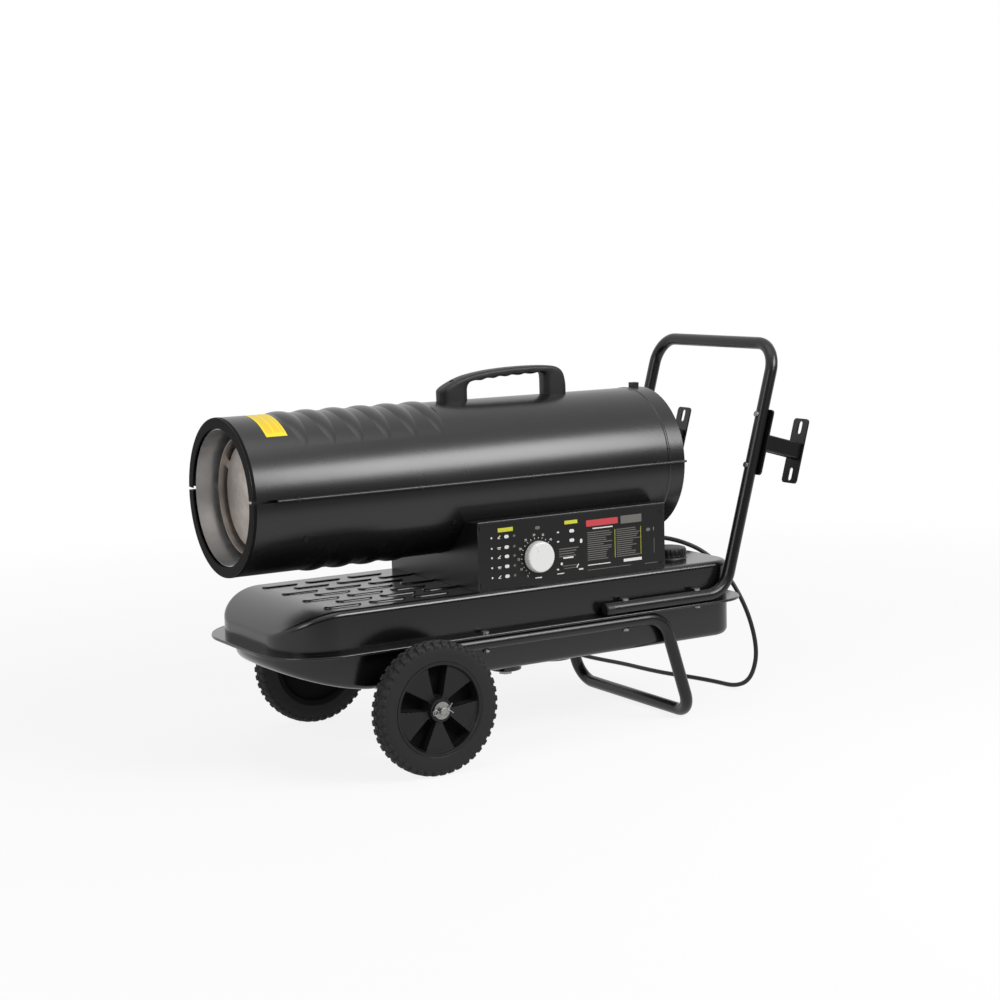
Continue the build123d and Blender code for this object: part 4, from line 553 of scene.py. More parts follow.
# %% Cord
cord_curve = bpy.data.curves.new("power_lead", "CURVE")
cord_curve.dimensions = "3D"
spline = cord_curve.splines.new("NURBS")
spline.points.add(len(cord_points) - 1)
spline.points.foreach_set("co", np.c_[cord_points, np.ones(len(cord_points))].ravel())
spline.order_u = 3
spline.use_endpoint_u = True
spline.resolution_u = 6
power_lead = into_scene("power_lead", cord_curve)
bare_line = bpy.data.meshes.new_from_object(power_lead)
cord_line = np.array([v.co for v in bare_line.vertices])
cord_curve.bevel_depth = cord_r
cord_curve.bevel_resolution = 6
settle(power_lead, "heater", "cord_jacket", "power_cord", "cord_coil")
print("cord length", round(float(np.linalg.norm(np.diff(cord_line, axis=0), axis=1).sum()), 3))

# %% [markdown]
# A tapered sleeve saves the cord from kinking where it leaves the gland. It follows the cord's own line,
# and rings round it let it bend: its radius steps between ridge and groove as it tapers.

# %% Strain relief
sleeve_length, sleeve_start_r, sleeve_end_r = 30 * MM, 7.2 * MM, 4.9 * MM
sleeve_rings, ring_depth, least_wall, plain_share = 6, 0.9 * MM, 0.4 * MM, 0.12
walked = np.concatenate([[0], np.cumsum(np.linalg.norm(np.diff(cord_line, axis=0), axis=1))])
along = np.linspace(0, sleeve_length, 97)
sleeve_line = np.stack([np.interp(along, walked, cord_line[:, k]) for k in range(3)], 1)
share = along / sleeve_length
grooves = ring_depth * ramp(np.abs((share * sleeve_rings) % 1 - 0.5) * 2 - 0.35, 0.3) * (share > plain_share)
sleeve_r = sleeve_start_r + (sleeve_end_r - sleeve_start_r) * share - grooves
sleeve_r = np.maximum(sleeve_r, cord_r + least_wall)
sleeve = dressed("strain_relief", [tube(wire(sleeve_line, sleeve_r, sides=32))], "heater", "rubber")
print("strain relief", sleeve_length)

# %% [markdown]
# The plug is a moulded body with a waist for the fingers and grip ribs, and two round pins. The
# body's half-width and half-height change along it, so it is a stack of rounded squares.

# %% Plug
plug_back, plug_neck, plug_shoulder, plug_body_length = 281.5 * MM, 16 * MM, 12 * MM, 26 * MM
plug_r, rib_lift, rib_pitch, ribbed_from = 17.5 * MM, 0.45 * MM, 3.2 * MM, 14 * MM
plug_squareness, squared = 4.0, 0.12
plug_face = plug_back - plug_neck - plug_shoulder - plug_body_length
station = np.array([0, 0.2, 3, 8, 15, 20, 26, 33, 38, 40, 46, 50, 53, 54, 54]) * MM
half = np.array([4.2, 5.6, 6.4, 6.5, 6.8, 11, 14.2, 15.4, 16.2, 16.8, 17.4, 17.5, 16.8, 15.0, 0.01]) * MM
profile = eased(np.stack([plug_back - station, half], 1), 6)
ribbed = profile[:, 1] > ribbed_from
ribs = rib_lift * ramp(np.sin((plug_back - profile[:, 0]) / rib_pitch * 2 * pi)) * ribbed
around = whole_turn(64)
rounded = np.abs(np.cos(around)) ** plug_squareness + np.abs(np.sin(around)) ** plug_squareness
square = rounded ** (-1 / plug_squareness)
width = np.minimum((profile[:, 1] - ribs)[:, None] * (1 + squared * (square[None] - 1)), plug_r)
plug_grid = lathe(profile[:, 0], width, "x", plug_axis, 64)
plug_body = dressed("plug_body", [tube(plug_grid)], "heater", "black_plastic", "mains_plug")

pin_gap = 19 * MM
pin_station = plug_face + np.array([1.0, 0.0, -16.0, -18.2, -19.0, -19.0]) * MM
pin_out = np.array([2.4, 2.4, 2.4, 2.1, 1.2, 0.001]) * MM
pins = [tube(lathe(pin_station, pin_out, "x", plug_axis + (0, side * pin_gap / 2, 0), 24))
        for side in (-1, 1)]
plug_pins = dressed("plug_pins", pins, "heater", "brass")
print("plug face at", round(plug_face, 4))

# %% [markdown]
# ## Wheels
# A tyre is a closed section carried round the axle. Its tread is a height added along the section's
# own normal: blocks are smooth pulses round the wheel and across the tread, staggered from row to row,
# and the outer rows wrap over the shoulder, which gives the knobbly outline.

# %% Wheel sizes
wheel_x, wheel_z = -248 * MM, 100 * MM
wheel_outer_y, tyre_width, rim_r, hub_r, axle_r = 219.5 * MM, 32 * MM, 70.7 * MM, 17 * MM, 6 * MM
wheel_middle_y = wheel_outer_y - tyre_width / 2
tread_blocks, tread_lift, block_slant = 44, 2.6 * MM, 0.10
block_edge, block_end, section_middle = 1.2, 0.09, (0, 80 * MM)


def pulse(offset, width, edge):
    """1 within half a width of the middle, easing to 0 over an edge."""
    return ramp(width / 2 - np.abs(offset) + edge / 2, edge)


def about_axle(out, angle, y):
    """Points at a distance and an angle from the axle, with angle 0 straight up."""
    return at(wheel_x + out * np.sin(angle), y, wheel_z + out * np.cos(angle))


# %% Tyres
def tyre(name, side, steps=768):
    """A tyre on one side: section points are (across, out), and tread blocks lift them outwards."""
    half_section = np.array([(14.6, 70.4), (15.2, 71.2), (15.5, 73.5), (15.5, 76.0), (15.8, 79.0),
                             (16.0, 85.0), (15.6, 90.0), (14.4, 93.6), (12.2, 96.0), (8.5, 97.2),
                             (4.0, 97.4), (0.0, 97.4)]) * MM
    outer = eased(half_section, 4)
    section = np.concatenate([outer, outer[-2::-1] * (-1, 1)])
    steps_along = np.linalg.norm(np.diff(section, axis=0), axis=1)
    walk = np.concatenate([[0], np.cumsum(steps_along)])
    arc = walk - walk[-1] / 2
    heading = np.gradient(section, axis=0)
    normal = np.stack([-heading[:, 1], heading[:, 0]], 1)
    normal /= np.linalg.norm(normal, axis=1)[:, None]
    normal *= np.sign((normal * (section - section_middle)).sum(1))[:, None]
    angle = whole_turn(steps)
    phase = angle[None] / (2 * pi) * tread_blocks
    across = arc[:, None]
    blocks = np.zeros((len(section), steps))
    rows = ((3.4, 5.4, 0.0, 0.62), (-3.4, 5.4, 0.5, 0.62),
            (12.6, 10.5, 0.25, 0.58), (-12.6, 10.5, 0.75, 0.58))
    for middle, width, shift, share in rows:
        slanted = phase + shift + block_slant * np.sign(middle) * (across / MM - middle) / width
        round_wheel = pulse((slanted % 1) - 0.5, share, block_end)
        blocks = np.maximum(blocks, round_wheel * pulse(across / MM - middle, width, block_edge))
    lift = blocks * tread_lift
    out = section[:, 1, None] + normal[:, 1, None] * lift
    sideways = np.clip(section[:, 0, None] + normal[:, 0, None] * lift, -tyre_width / 2, tyre_width / 2)
    return surface(name, [loop(about_axle(out, angle, side * (wheel_middle_y + sideways)))])


for word, side in (("left", -1), ("right", 1)):
    settle(tyre(word + "_wheel_tyre", side), word + "_wheel", "tyre", word + "_tyre")
print("tyres: blocks per row", tread_blocks)

# %% [markdown]
# A rim is a plastic moulding: a hub, a dish with five wedge-shaped pockets and a raised lip. It is made
# as a height over distance and angle. A pocket's depth rises from its edge over a short draft, and the
# edge is the least of its distances to four sides, so its corners come out rounded.

# %% Rims
spokes = 5
pocket_inner, pocket_outer, pocket_half_in, pocket_half_out, pocket_depth = 19.0, 64.5, 7.2, 16.4, 17.0
corner_softness, draft, draft_start = 1.1, 2.2, 0.6
dish_depth, dish_r, belly_depth, belly_r = 4.5, 66.5, 1.6, 42
hub_face_r, hub_proud = 19.5, 2.0


def rim_face(out, angle):
    """How far the rim's face lies inside the tyre's side, in millimetres, at a distance and an angle."""
    dish = dish_depth * ramp(dish_r - out, 3.0) + belly_depth * ramp(40 - np.abs(out - belly_r), 30)
    hub = (dish + hub_proud) * ramp(hub_face_r - out, draft)
    local = (angle + pi / spokes) % (2 * pi / spokes) - pi / spokes
    down, sideways = out * np.cos(local), np.abs(out * np.sin(local))
    widening = (pocket_half_out - pocket_half_in) * (down - pocket_inner) / (pocket_outer - pocket_inner)
    half_width = pocket_half_in + widening
    sides = np.stack(np.broadcast_arrays(half_width - sideways, down - pocket_inner, pocket_outer - out))
    inside = -corner_softness * np.log(np.exp(-sides / corner_softness).sum(0))
    return np.maximum(dish - hub, -2.5) + pocket_depth * ramp(inside + draft_start, draft)


def rim(name, side, steps=480):
    """A rim on one side: face, outer wall, back and bore, as one closed grid."""
    angle = whole_turn(steps)[None]
    out = np.linspace(axle_r / MM + 0.2, rim_r / MM - 0.8, 92)[:, None]
    face_in = rim_face(out, angle)
    edge_out = np.array([rim_r / MM - 0.2, rim_r / MM, rim_r / MM, rim_r / MM - 0.6])[:, None]
    edge_in = np.array([0.25, 0.9, 30.8, 31.4])[:, None]
    back_out = np.array([66.0, 63.5, 63.0, 24.0, 19.0, hub_r / MM, hub_r / MM, axle_r / MM + 0.2])[:, None]
    back_in = np.array([31.4, 30.6, 24.0, 23.0, 26.0, 30.0, 48.0, 48.0])[:, None]
    all_out = np.concatenate([out, edge_out, back_out]) + 0 * angle
    all_in = np.concatenate([face_in, edge_in + 0 * angle, back_in + 0 * angle])
    return surface(name, [loop(about_axle(all_out * MM, angle, side * (wheel_outer_y - all_in * MM)))])


# %% [markdown]
# The pockets get painted shade: deep inside, their colour goes to near black, and they are made matt. How
# deep a place lies is its distance in from the wheel's outer side, along Y, so one mask serves both wheels.

# %% Painted shade in the pockets
pocket_shade_from, pocket_shade_to, pocket_painted_shade = 7 * MM, 13 * MM, (0.0008, 0.0008, 0.0008)
tree = finishes["rim_plastic"].node_tree
shader = tree.nodes["Principled BSDF"]
sideways = add(tree, "SeparateXYZ", {0: add(tree, "TexCoord").outputs["Object"]}).outputs["Y"]
inset = sums(tree, "SUBTRACT", wheel_outer_y, sums(tree, "ABSOLUTE", sideways, 0.0))
pocket_shade_mask = spread(tree, inset, pocket_shade_from, pocket_shade_to, 0.0, 1.0)
plain_tone = shader.inputs["Base Color"].links[0].from_socket
plain_gloss = shader.inputs["Roughness"].links[0].from_socket
# Painted shade: the pockets' colour darkens to near black with depth.
tree.links.new(blended(tree, pocket_shade_mask, plain_tone, pocket_painted_shade), shader.inputs["Base Color"])
tree.links.new(sums(tree, "MAXIMUM", plain_gloss, pocket_shade_mask), shader.inputs["Roughness"])
for word, side in (("left", -1), ("right", 1)):
    settle(rim(word + "_wheel_rim", side), word + "_wheel", "rim_plastic", word + "_rim")
print("rims: pockets", spokes)

# %% [markdown]
# A split pin keeps the washer and the wheel on the axle: a loop of half-round wire whose two legs pass
# through the axle and are bent apart. It is one wire from leg to loop to leg.

# %% Split pins
pin_axle_y, pin_wire_r, pin_lean = 225.8 * MM, 0.85 * MM, radians(7)
eye_x, eye_r, eye_half_angle = -8.0, 3.9, radians(160)


def split_pin(side):
    """The wire's path: out along one leg, back through the axle, round the loop and out again."""
    leg = np.array([(17.0, 7.5), (13.0, 3.6), (10.0, 1.0), (0.0, 0.75), (eye_x, 0.75)])
    bow = eye_half_angle * np.linspace(1, -1, 25)
    bend = np.stack([eye_x - eye_r - eye_r * np.cos(bow), eye_r * np.sin(bow)], 1)
    flat = np.concatenate([eased(leg, 6), bend, eased(leg[::-1] * (1, -1), 6)]) * MM
    x = flat[:, 0] * cos(pin_lean) - flat[:, 1] * sin(pin_lean)
    z = flat[:, 0] * sin(pin_lean) + flat[:, 1] * cos(pin_lean)
    return wire(at(wheel_x + x, side * pin_axle_y, wheel_z + z), pin_wire_r, level=(0, 1, 0), sides=10)


pins = [tube(split_pin(side)) for side in (-1, 1)]
dressed("split_pin_wires", pins, "heater", "zinc", "split_pins")
print("split pins", len(pins))

# %% [markdown]
# ## Carry handle
# The handle is a moulded bow. Two lines in side view bound it: the back of the bow, and the opening's
# edge with its finger waves. A rounded-square section spans from one line to the other all along. Its
# screw recess is painted shade: a flat, nearly black disc that hardly stands out of the bow's shoulder.

# %% Carry handle
grip_half_width, seat_sink = 14 * MM, 0.3 * MM
barrel_axis_z, barrel_r = 410 * MM, 118 * MM
bow_back = eased([(-113, 524), (-113, 538), (-113.5, 545), (-104, 551.5), (-87, 559.5), (-68, 566),
                  (-35, 571.5), (5, 574.6), (50, 575.4), (85, 574.2), (103, 571.5), (114, 563),
                  (118, 550), (119.5, 538), (119, 524)], 10) * MM
bow_edge = eased([(-64.5, 524), (-64.5, 536), (-64.5, 548), (-60, 556.0), (-48, 558.2), (-30, 559.8),
                  (-8, 561.5), (14, 562.6), (36, 563.2), (56, 563.8), (70, 564), (77, 562), (78, 554),
                  (78, 538), (78, 524)], 10) * MM
waves, wave_depth, bow_squareness = 5, 1.9 * MM, 0.55
waved_from, waved_length, waved_above = -50 * MM, 115 * MM, 552 * MM
grip_share = np.clip((bow_edge[:, 0] - waved_from) / waved_length, 0, 1)
level = ramp(bow_edge[:, 1] - waved_above, 6 * MM)
bow_edge[:, 1] -= wave_depth * level * (0.5 - 0.5 * np.cos(2 * pi * waves * grip_share))
middle, reach = 0.5 * (bow_back + bow_edge), 0.5 * (bow_back - bow_edge)
around = whole_turn(48)
rise = np.sign(np.cos(around)) * np.abs(np.cos(around)) ** bow_squareness
sidle = np.sign(np.sin(around)) * np.abs(np.sin(around)) ** bow_squareness
flat = middle[:, None] + reach[:, None] * rise[None, :, None]
across = np.broadcast_to(grip_half_width * sidle, flat.shape[:2])
seat = barrel_axis_z + np.sqrt(barrel_r**2 - across**2) - seat_sink
bow_grid = at(flat[..., 0], across, np.maximum(flat[..., 1], seat))
dressed("carry_bow", [tube(bow_grid)], "heater", "black_plastic", "carry_handle")
# Painted shade: the screw recess is a flat, nearly black disc, not a hole.
sink_r, sink_middle = 3.4 * MM, np.array([-88.6, 0.0, 558.6]) * MM
sink_axis, sink_along = np.array([-0.373, 0.0, 0.928]), np.linspace(-3, 0.35, 4) * MM
sink = tube(wire(sink_middle + sink_along[:, None] * sink_axis, sink_r, level=(0, 1, 0), sides=28))
dressed("grip_screw_painted_shade", [sink], "heater", "black_plastic", ink="painted_shade_black")
print("carry handle points", bow_grid.shape)

# %% [markdown]
# ## Thermostat knob
# The knob is a short drum with a soft front edge and fine grip notches. Its radius varies round the drum
# only where the notches are. The face is smooth but for a pointer, a low ridge raised in the same grid.

# %% Knob
knob_x, knob_z, knob_back_y = -25.5 * MM, 292.5 * MM, -139.9 * MM
notches, notch_depth, knob_steps, gripped_out, ease = 36, 0.55 * MM, 720, 21.5 * MM, 1.5 * MM
pointer_angle, pointer_width, pointer_lift = radians(118), 2.4 * MM, 0.45 * MM
pointer_from, pointer_to, face_from = 9 * MM, 22 * MM, 12.5 * MM
station = np.array([0.0, 0.0, 0.6, 2.5, 5, 7.5, 10.0, 11.6, 12.9,
                    13.5, 13.55, 13.5, 13.45, 13.4, 13.4, 13.4, 13.4]) * MM
radius = np.array([0.01, 22.5, 24.0, 24.5, 24.5, 24.4, 24.1, 23.6, 22.6,
                   21.0, 19.0, 16.5, 14.0, 11.0, 8.0, 4.0, 0.01]) * MM
profile = eased(np.stack([station, radius], 1), 5)
angle = whole_turn(knob_steps)
grip = ramp(profile[:, 1] - gripped_out, ease) * ramp(profile[:, 0], ease)
notch = ramp(np.cos(notches * angle) - 0.2, 0.8)
out = profile[:, 1, None] - notch_depth * grip[:, None] * notch[None]
knob_grid = lathe(knob_back_y - profile[:, 0], out, "y", (knob_x, 0, knob_z), knob_steps)
from_middle = knob_grid[..., [0, 2]] - (knob_x, knob_z)
far = from_middle @ (cos(pointer_angle), sin(pointer_angle))
off = from_middle @ (-sin(pointer_angle), cos(pointer_angle))
ridge = ramp(far - pointer_from, ease) * ramp(pointer_to - far, ease)
ridge = ridge * pulse(off, pointer_width, 1.0 * MM) * (profile[:, 0, None] > face_from)
knob_grid[..., 1] -= pointer_lift * ridge
dressed("knob_drum", [tube(knob_grid)], "knob", "white_plastic", "thermostat_knob")
print("knob notches", notches)

# %% [markdown]
# ## Printing on the panel
# What a maker would print there is left out. Plain bars, dots and rounded marks of like size and colour
# stand in its place, with a dial scale of plain numbers round the knob. Each mark is a thin pad with a
# rounded outline that lies on the film, and all marks of one ink are one piece.

# %% Marks
panel_y = -139.6 * MM
ink_lift, mark_corners = 0.12 * MM, 28


def mark(x, z, width, height, corner=1.0, lean=0.0):
    """A thin pad with rounded ends, centred at x and z in millimetres and turned by lean degrees."""
    turn = whole_turn(mark_corners) + pi / mark_corners
    corner = min(corner, width / 2, height / 2)
    edge_x = np.sign(np.cos(turn)) * (width / 2 - corner) + corner * np.cos(turn)
    edge_z = np.sign(np.sin(turn)) * (height / 2 - corner) + corner * np.sin(turn)
    spin_x = edge_x * cos(radians(lean)) - edge_z * sin(radians(lean))
    spin_z = edge_x * sin(radians(lean)) + edge_z * cos(radians(lean))
    rows = [at((x + spin_x) * MM, panel_y + rise, (z + spin_z) * MM) for rise in (0.02 * MM, -ink_lift)]
    return tube(np.stack(rows))


# %% Yellow, red and white marks
yellow = [mark(-82, 339.4, 27, 6.2, 0.8), mark(37, 339.6, 24, 5.6, 0.8)]
yellow += [mark(119.0, 298, 0.7, 45, 0.3), mark(168.6, 298, 0.7, 45, 0.3)]
red = [mark(95, 334.2, 60, 10.0, 1.6)]
white = [mark(96, 325.4, 38, 1.8, 0.6), mark(152.4, 269.0, 35, 4.6, 0.8),
         mark(88.5, 268.4, 43, 1.4, 0.5)]
icon_rows = (328.7, 312.5, 298.2, 282.9, 267.7)
for number, z in enumerate(icon_rows):
    lean = 40 if number % 2 == 0 else 0
    white += [mark(-106.8, z, 3.0, 3.0, 1.5), mark(-80.2, z, 8.0, 5.2, 2.6),
              mark(-93.6, z + 0.2, 6.5, 1.5, 0.7, lean), mark(-93.6, z - 2.0, 5.0, 0.8, 0.4)]
for z in (325.7, 311.1):
    white += [mark(38.1, z, 9.0, 5.2, 2.6), mark(12.8, z, 4.2, 2.2, 1.0)]
white += [mark(55.3, 308.3, 4.4, 6.6, 2.0), mark(31.0, 284.6, 19, 2.4, 0.8), mark(-24.2, 259.2, 12, 1.8, 0.6)]
white += [mark(18.6, 275.9, 4.4, 4.4, 2.2), mark(11.5, 267.9, 4.0, 2.4, 1.0),
          mark(54.3, 264.2, 8.0, 2.2, 0.8), mark(48.0, 270.0, 2.0, 7.0, 0.8, -35),
          mark(16.5, 261.0, 13, 1.5, 0.5)]
print("marks", len(yellow), len(red), len(white))

# %% Grey lines of small print, as plain rules
grey = [mark(150.3, 334, 40, 12.6, 1.0)]
line_lengths = np.random.default_rng(7).uniform(0.62, 1.0, 40)
for column, (left, right) in enumerate(((67, 116), (122, 167))):
    for number, z in enumerate(np.linspace(319.5, 276.5, 14)):
        length = (right - left) * line_lengths[number + 14 * column]
        grey.append(mark(left + length / 2, z, length, 1.35, 0.3))
for number, z in enumerate(np.linspace(299.0, 287.5, 4)):
    length = 45 * line_lengths[30 + number]
    grey.append(mark(14 + length / 2, z, length, 1.5, 0.3))
grey += [mark(108, 260.6, 82, 0.9, 0.3), mark(188, 259.6, 24, 0.9, 0.3), mark(194.2, 287, 0.8, 24, 0.3)]
grey += [mark(-66.6, z, 4.2, 3.6, 1.2, 30) for z in icon_rows]
grey += [mark(-24.4, 336.6, 9, 5.0, 2.4), mark(34, 272, 26, 1.1, 0.4), mark(34, 268, 22, 1.1, 0.4)]
grey += [mark(183, 313.5, 8, 5.2, 2.4), mark(193.5, 314, 2.0, 6.0, 0.8)]
print("grey marks", len(grey))

# %% [markdown]
# The dial's scale runs clockwise from low on the left, over the top, to the right. Ticks are marks, and
# the numbers are Blender text made into a mesh and thickened a little.

# %% Dial scale
dial_r, number_r, number_size = 28.6, 34.0, 5.0
first_angle, last_angle = 238.0, 44.0
dial_numbers = [str(n) for n in range(5, 45, 5)]


def on_dial(out, angle):
    """The x and z in millimetres of a place at a distance and an angle from the knob's middle."""
    return knob_x / MM + out * cos(radians(angle)), knob_z / MM + out * sin(radians(angle))


for angle in np.linspace(first_angle, last_angle, 2 * len(dial_numbers) - 1):
    white.append(mark(*on_dial(dial_r, angle), 2.6, 0.8, 0.3, angle))


def lettering(text, x, z, size):
    """A text object laid on the panel, made a mesh, so that its place is in the mesh."""
    curve = bpy.data.curves.new("number_" + text, "FONT")
    curve.body = text
    curve.size = size * MM
    curve.align_x = curve.align_y = "CENTER"
    curve.extrude = ink_lift / 2
    written = bpy.data.objects.new("number_" + text, curve)
    mesh = bpy.data.meshes.new_from_object(written)
    corners = np.array([v.co for v in mesh.vertices])
    laid = at(corners[:, 0] + x * MM, panel_y - ink_lift / 2 - corners[:, 2], corners[:, 1] + z * MM)
    mesh.vertices.foreach_set("co", laid.astype(np.float32).ravel())
    return into_scene("dial_number_" + text, mesh)


for text, angle in zip(dial_numbers, np.linspace(first_angle, last_angle, len(dial_numbers))):
    settle(lettering(text, *on_dial(number_r, angle), number_size), "heater", "panel", ink="ink_white")
for name, marks in (("yellow", yellow), ("red", red), ("white", white), ("grey", grey)):
    dressed("panel_marks_" + name, marks, "heater", "panel", ink="ink_" + name)
print("dial numbers", dial_numbers)

# %% [markdown]
# ## Yellow patch on the barrel
# A plain film patch lies on the barrel's front, with three bars of a slightly darker yellow. It is bent
# round the barrel, so its grid runs along X and round the axis, a little over the barrel's radius.

# %% Patch
film_gap, film_lift, bar_lift = 0.05, 0.25, 0.33


def about_barrel(x, out, angle):
    """Points at x and at a distance and an angle from the barrel's axis, with angle 0 along Y."""
    return at(x, out * np.cos(angle), barrel_axis_z + out * np.sin(angle))


def patch(name, x_from, x_to, from_angle, to_angle, lift, ink):
    """A thin bent sheet on the barrel: two layers of a grid, joined round their rims."""
    x = np.linspace(x_from, x_to, 13)[:, None] * MM
    angle = np.radians(np.linspace(from_angle, to_angle, 25))
    lower, upper = (about_barrel(x, barrel_r + height * MM, angle) for height in (film_gap, lift))
    hem = np.concatenate([lower[:1], upper, lower[-1:]])
    sides = [sheet(np.stack([lower[:, k], upper[:, k]])) for k in (0, -1)]
    return dressed(name, [sheet(hem), sheet(lower), *sides], "heater", "barrel_paint", ink=ink)


patch("front_patch", -440, -406.5, 88, 129, film_lift, "film_yellow")
for number, (near, far) in enumerate(((-436.5, -426), (-423, -415), (-412.5, -409))):
    patch("patch_bar_" + str(number), near, far, 92, 125, bar_lift, "film_amber")
print("patch laid")

# %% [markdown]
# The barrel's lip gets painted shade: a thin, nearly black matt ring with rolled edges lies over it and stops
# at the slots of the seam, so it is two arcs. Each is the lip's closed section carried round the barrel's
# axis.

# %% Painted shade on the lip
seam_z, ledge_y, slot_half = 414 * MM, 122.3 * MM, 2.3 * MM
lip_profile = eased([(-483.0, 101.9), (-484.3, 102.2), (-484.5, 104.5), (-484.45, 110.0), (-484.5, 115.6),
                     (-484.2, 118.0), (-482.0, 118.35), (-479.0, 118.3), (-478.6, 118.05), (-483.4, 117.6),
                     (-483.9, 110.0), (-483.6, 102.9), (-483.0, 101.9)], 6)[:-1] * MM
lip_steps, lip_arcs = 97, []
for side, first, last in ((1, 0, pi), (-1, pi, 2 * pi)):
    ends = side * np.arcsin((seam_z + side * slot_half - barrel_axis_z) / barrel_r)
    turn = np.linspace(first + ends, last - ends, lip_steps)[:, None]
    lip_arcs.append(tube(about_barrel(lip_profile[:, 0], lip_profile[:, 1], turn)))
# Painted shade: the lip ring is nearly black and matt.
dressed("outlet_lip_painted_shade", lip_arcs, "heater", "barrel_paint", ink="painted_shade_black")
print("lip arcs", len(lip_arcs))

# %% [markdown]
# Along the seam the sheets' edges are rolled, so light runs along them as a thin line, and a straight rod
# is enough for each. A low pressed bead runs round the barrel near its rear, as an open strip whose two
# ends stand a step apart just below the far seam.

# %% Seam hems and rear bead
hem_x, hem_r = np.linspace(-447.6, 272.6, 40) * MM, 2.0 * MM
hems = [tube(wire(at(hem_x, side * ledge_y, seam_z), hem_r)) for side in (-1, 1)]
dressed("seam_hems", hems, "heater", "barrel_paint")
bead_x, bead_steps = 243 * MM, 180
bead = eased([(-3.0, 117.7), (-2.4, 118.1), (-0.8, 118.9), (0.8, 118.9), (2.4, 118.1), (3.0, 117.7)], 4) * MM
bead_ring = lathe(bead_x + bead[:, 0], bead[:, 1], "x", (0, 0, barrel_axis_z), bead_steps)
dressed("rear_bead", [sheet(bead_ring)], "heater", "barrel_paint")
print("hems", len(hems), "and a bead at", bead_x)

# %% [markdown]
# The box's sheet ends in a rolled rim over the control panel. It is a thin rod along the upper edge of
# the panel, whose place is read from the frame.

# %% Rim over the panel
panel_low, panel_high = (np.array(corner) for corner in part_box("control_panel"))
rim_short, rim_back, rim_up, panel_rim_r = 1 * MM, 1.2 * MM, 0.6 * MM, 1.5 * MM
rim_x = np.linspace(panel_low[0] + rim_short, panel_high[0] - rim_short, 24)
rim_line = at(rim_x, panel_low[1] + rim_back, panel_high[2] + rim_up)
dressed("panel_rim", [tube(wire(rim_line, panel_rim_r))], "heater", "barrel_paint")
print("panel rim", round(float(rim_x[-1] - rim_x[0]), 3))

# %% [markdown]
# ## Tank
# The lower pan is pressed like a boat: from above, its front is rounder than a plain corner, and its
# floor rises towards the nose while its wall stays upright. Outlines are stacked from the flange down to
# a floor whose height follows X, and are drawn in round the bottom edge. A rolled hem runs round the
# flange, and the sump is a shallow cup underneath.

# %% Lower pan
pan_front, pan_rear, pan_half, pan_floor = -451.0, 353.0, 147.0, 125.0
flange_under, flange_over, flange_out = 184.5, 186.4, 20.0
front_corner, rear_corner, bow_length, bow = 80.0, 40.0, 175.0, 0.55
bottom_r, nose_rise, rise_from, rise_power = 12.0, 36.0, -300.0, 1.7
sump_x, sump_y, sump_r, sump_low = -69 * MM, -108 * MM, 25.0, 117.0
hem_inset, pan_hem_r = 1.6, 2.3 * MM


def pan_outline(grown, bow=0.0):
    """Half an outline from above, from nose to tail: a bow between round corners and an ellipse."""
    half, front, rear = pan_half + grown, pan_front - grown, pan_rear + grown
    turn = np.linspace(0, pi / 2, 48)
    y = half * np.sin(turn)
    corner = front_corner + grown
    square = corner - np.sqrt(corner**2 - np.maximum(y - (half - corner), 0) ** 2)
    ellipse = (bow_length + grown) * (1 - np.cos(turn))
    nose = np.stack([front + square + bow * (ellipse - square), y], 1)
    corner = rear_corner + grown
    side = np.stack([np.linspace(nose[-1, 0], rear - corner, 12)[1:-1], np.full(10, half)], 1)
    turn = np.linspace(0, pi / 2, 14)
    tail = np.stack([rear - corner + corner * np.sin(turn), half - corner + corner * np.cos(turn)], 1)
    return np.concatenate([nose, side, tail])


def all_round(half_outline, z):
    """A closed row of points from half an outline and its mirror image, at one or many heights."""
    half = at(half_outline[:, 0], half_outline[:, 1], z)
    return np.concatenate([half, (half * (1, -1, 1))[:0:-1]]) * MM


def lid(half_outline, z):
    """A surface that spans from half an outline to its mirror image."""
    share = np.linspace(1, -1, 9)
    return at(half_outline[:, :1], half_outline[:, 1:] * share, np.reshape(z, (-1, 1))) * MM


def floor_height(x):
    """The pan's floor: flat, and rising to the nose."""
    return pan_floor + nose_rise * np.clip((rise_from - x) / (rise_from - pan_front), 0, 1) ** rise_power


rim_outline, top_outline = pan_outline(flange_out), pan_outline(0, bow)
rows = [all_round(rim_outline, flange_over), all_round(rim_outline, flange_under)]
low = floor_height(top_outline[:, 0]) + bottom_r
for share in np.linspace(0, 1, 8):
    rows.append(all_round(top_outline, flange_under + share * (low - flange_under)))
for t in np.linspace(0, pi / 2, 9)[1:]:
    drawn = pan_outline(-bottom_r * (1 - cos(t)), bow)
    height = floor_height(drawn[:, 0]) + bottom_r * (1 - sin(t))
    rows.append(all_round(drawn, height))
sump_profile = eased([(pan_floor + 1, sump_r), (sump_low + 2, sump_r), (sump_low, sump_r - 0.4),
                      (sump_low, sump_r - 4), (sump_low, 0.01)], 6) * MM
sump = lathe(sump_profile[:, 0], sump_profile[:, 1], "z", (sump_x, sump_y, 0), 72)
hem_path = all_round(pan_outline(flange_out - hem_inset), flange_over)
pan = [(np.stack(rows), False, True, False), sheet(lid(rim_outline, flange_over)), sheet(lid(drawn, height)),
       tube(sump), loop(wire(hem_path, pan_hem_r, sides=14, closed=True))]
dressed("tank_pan", pan, "heater", "tank_paint", "tank_lower")
print("pan outlines", len(rows))

# %% [markdown]
# The tank's top has rows of low rounded bosses. Each is a stadium whose edge rolls over to a flat top, and
# every second row is shifted by half a step.

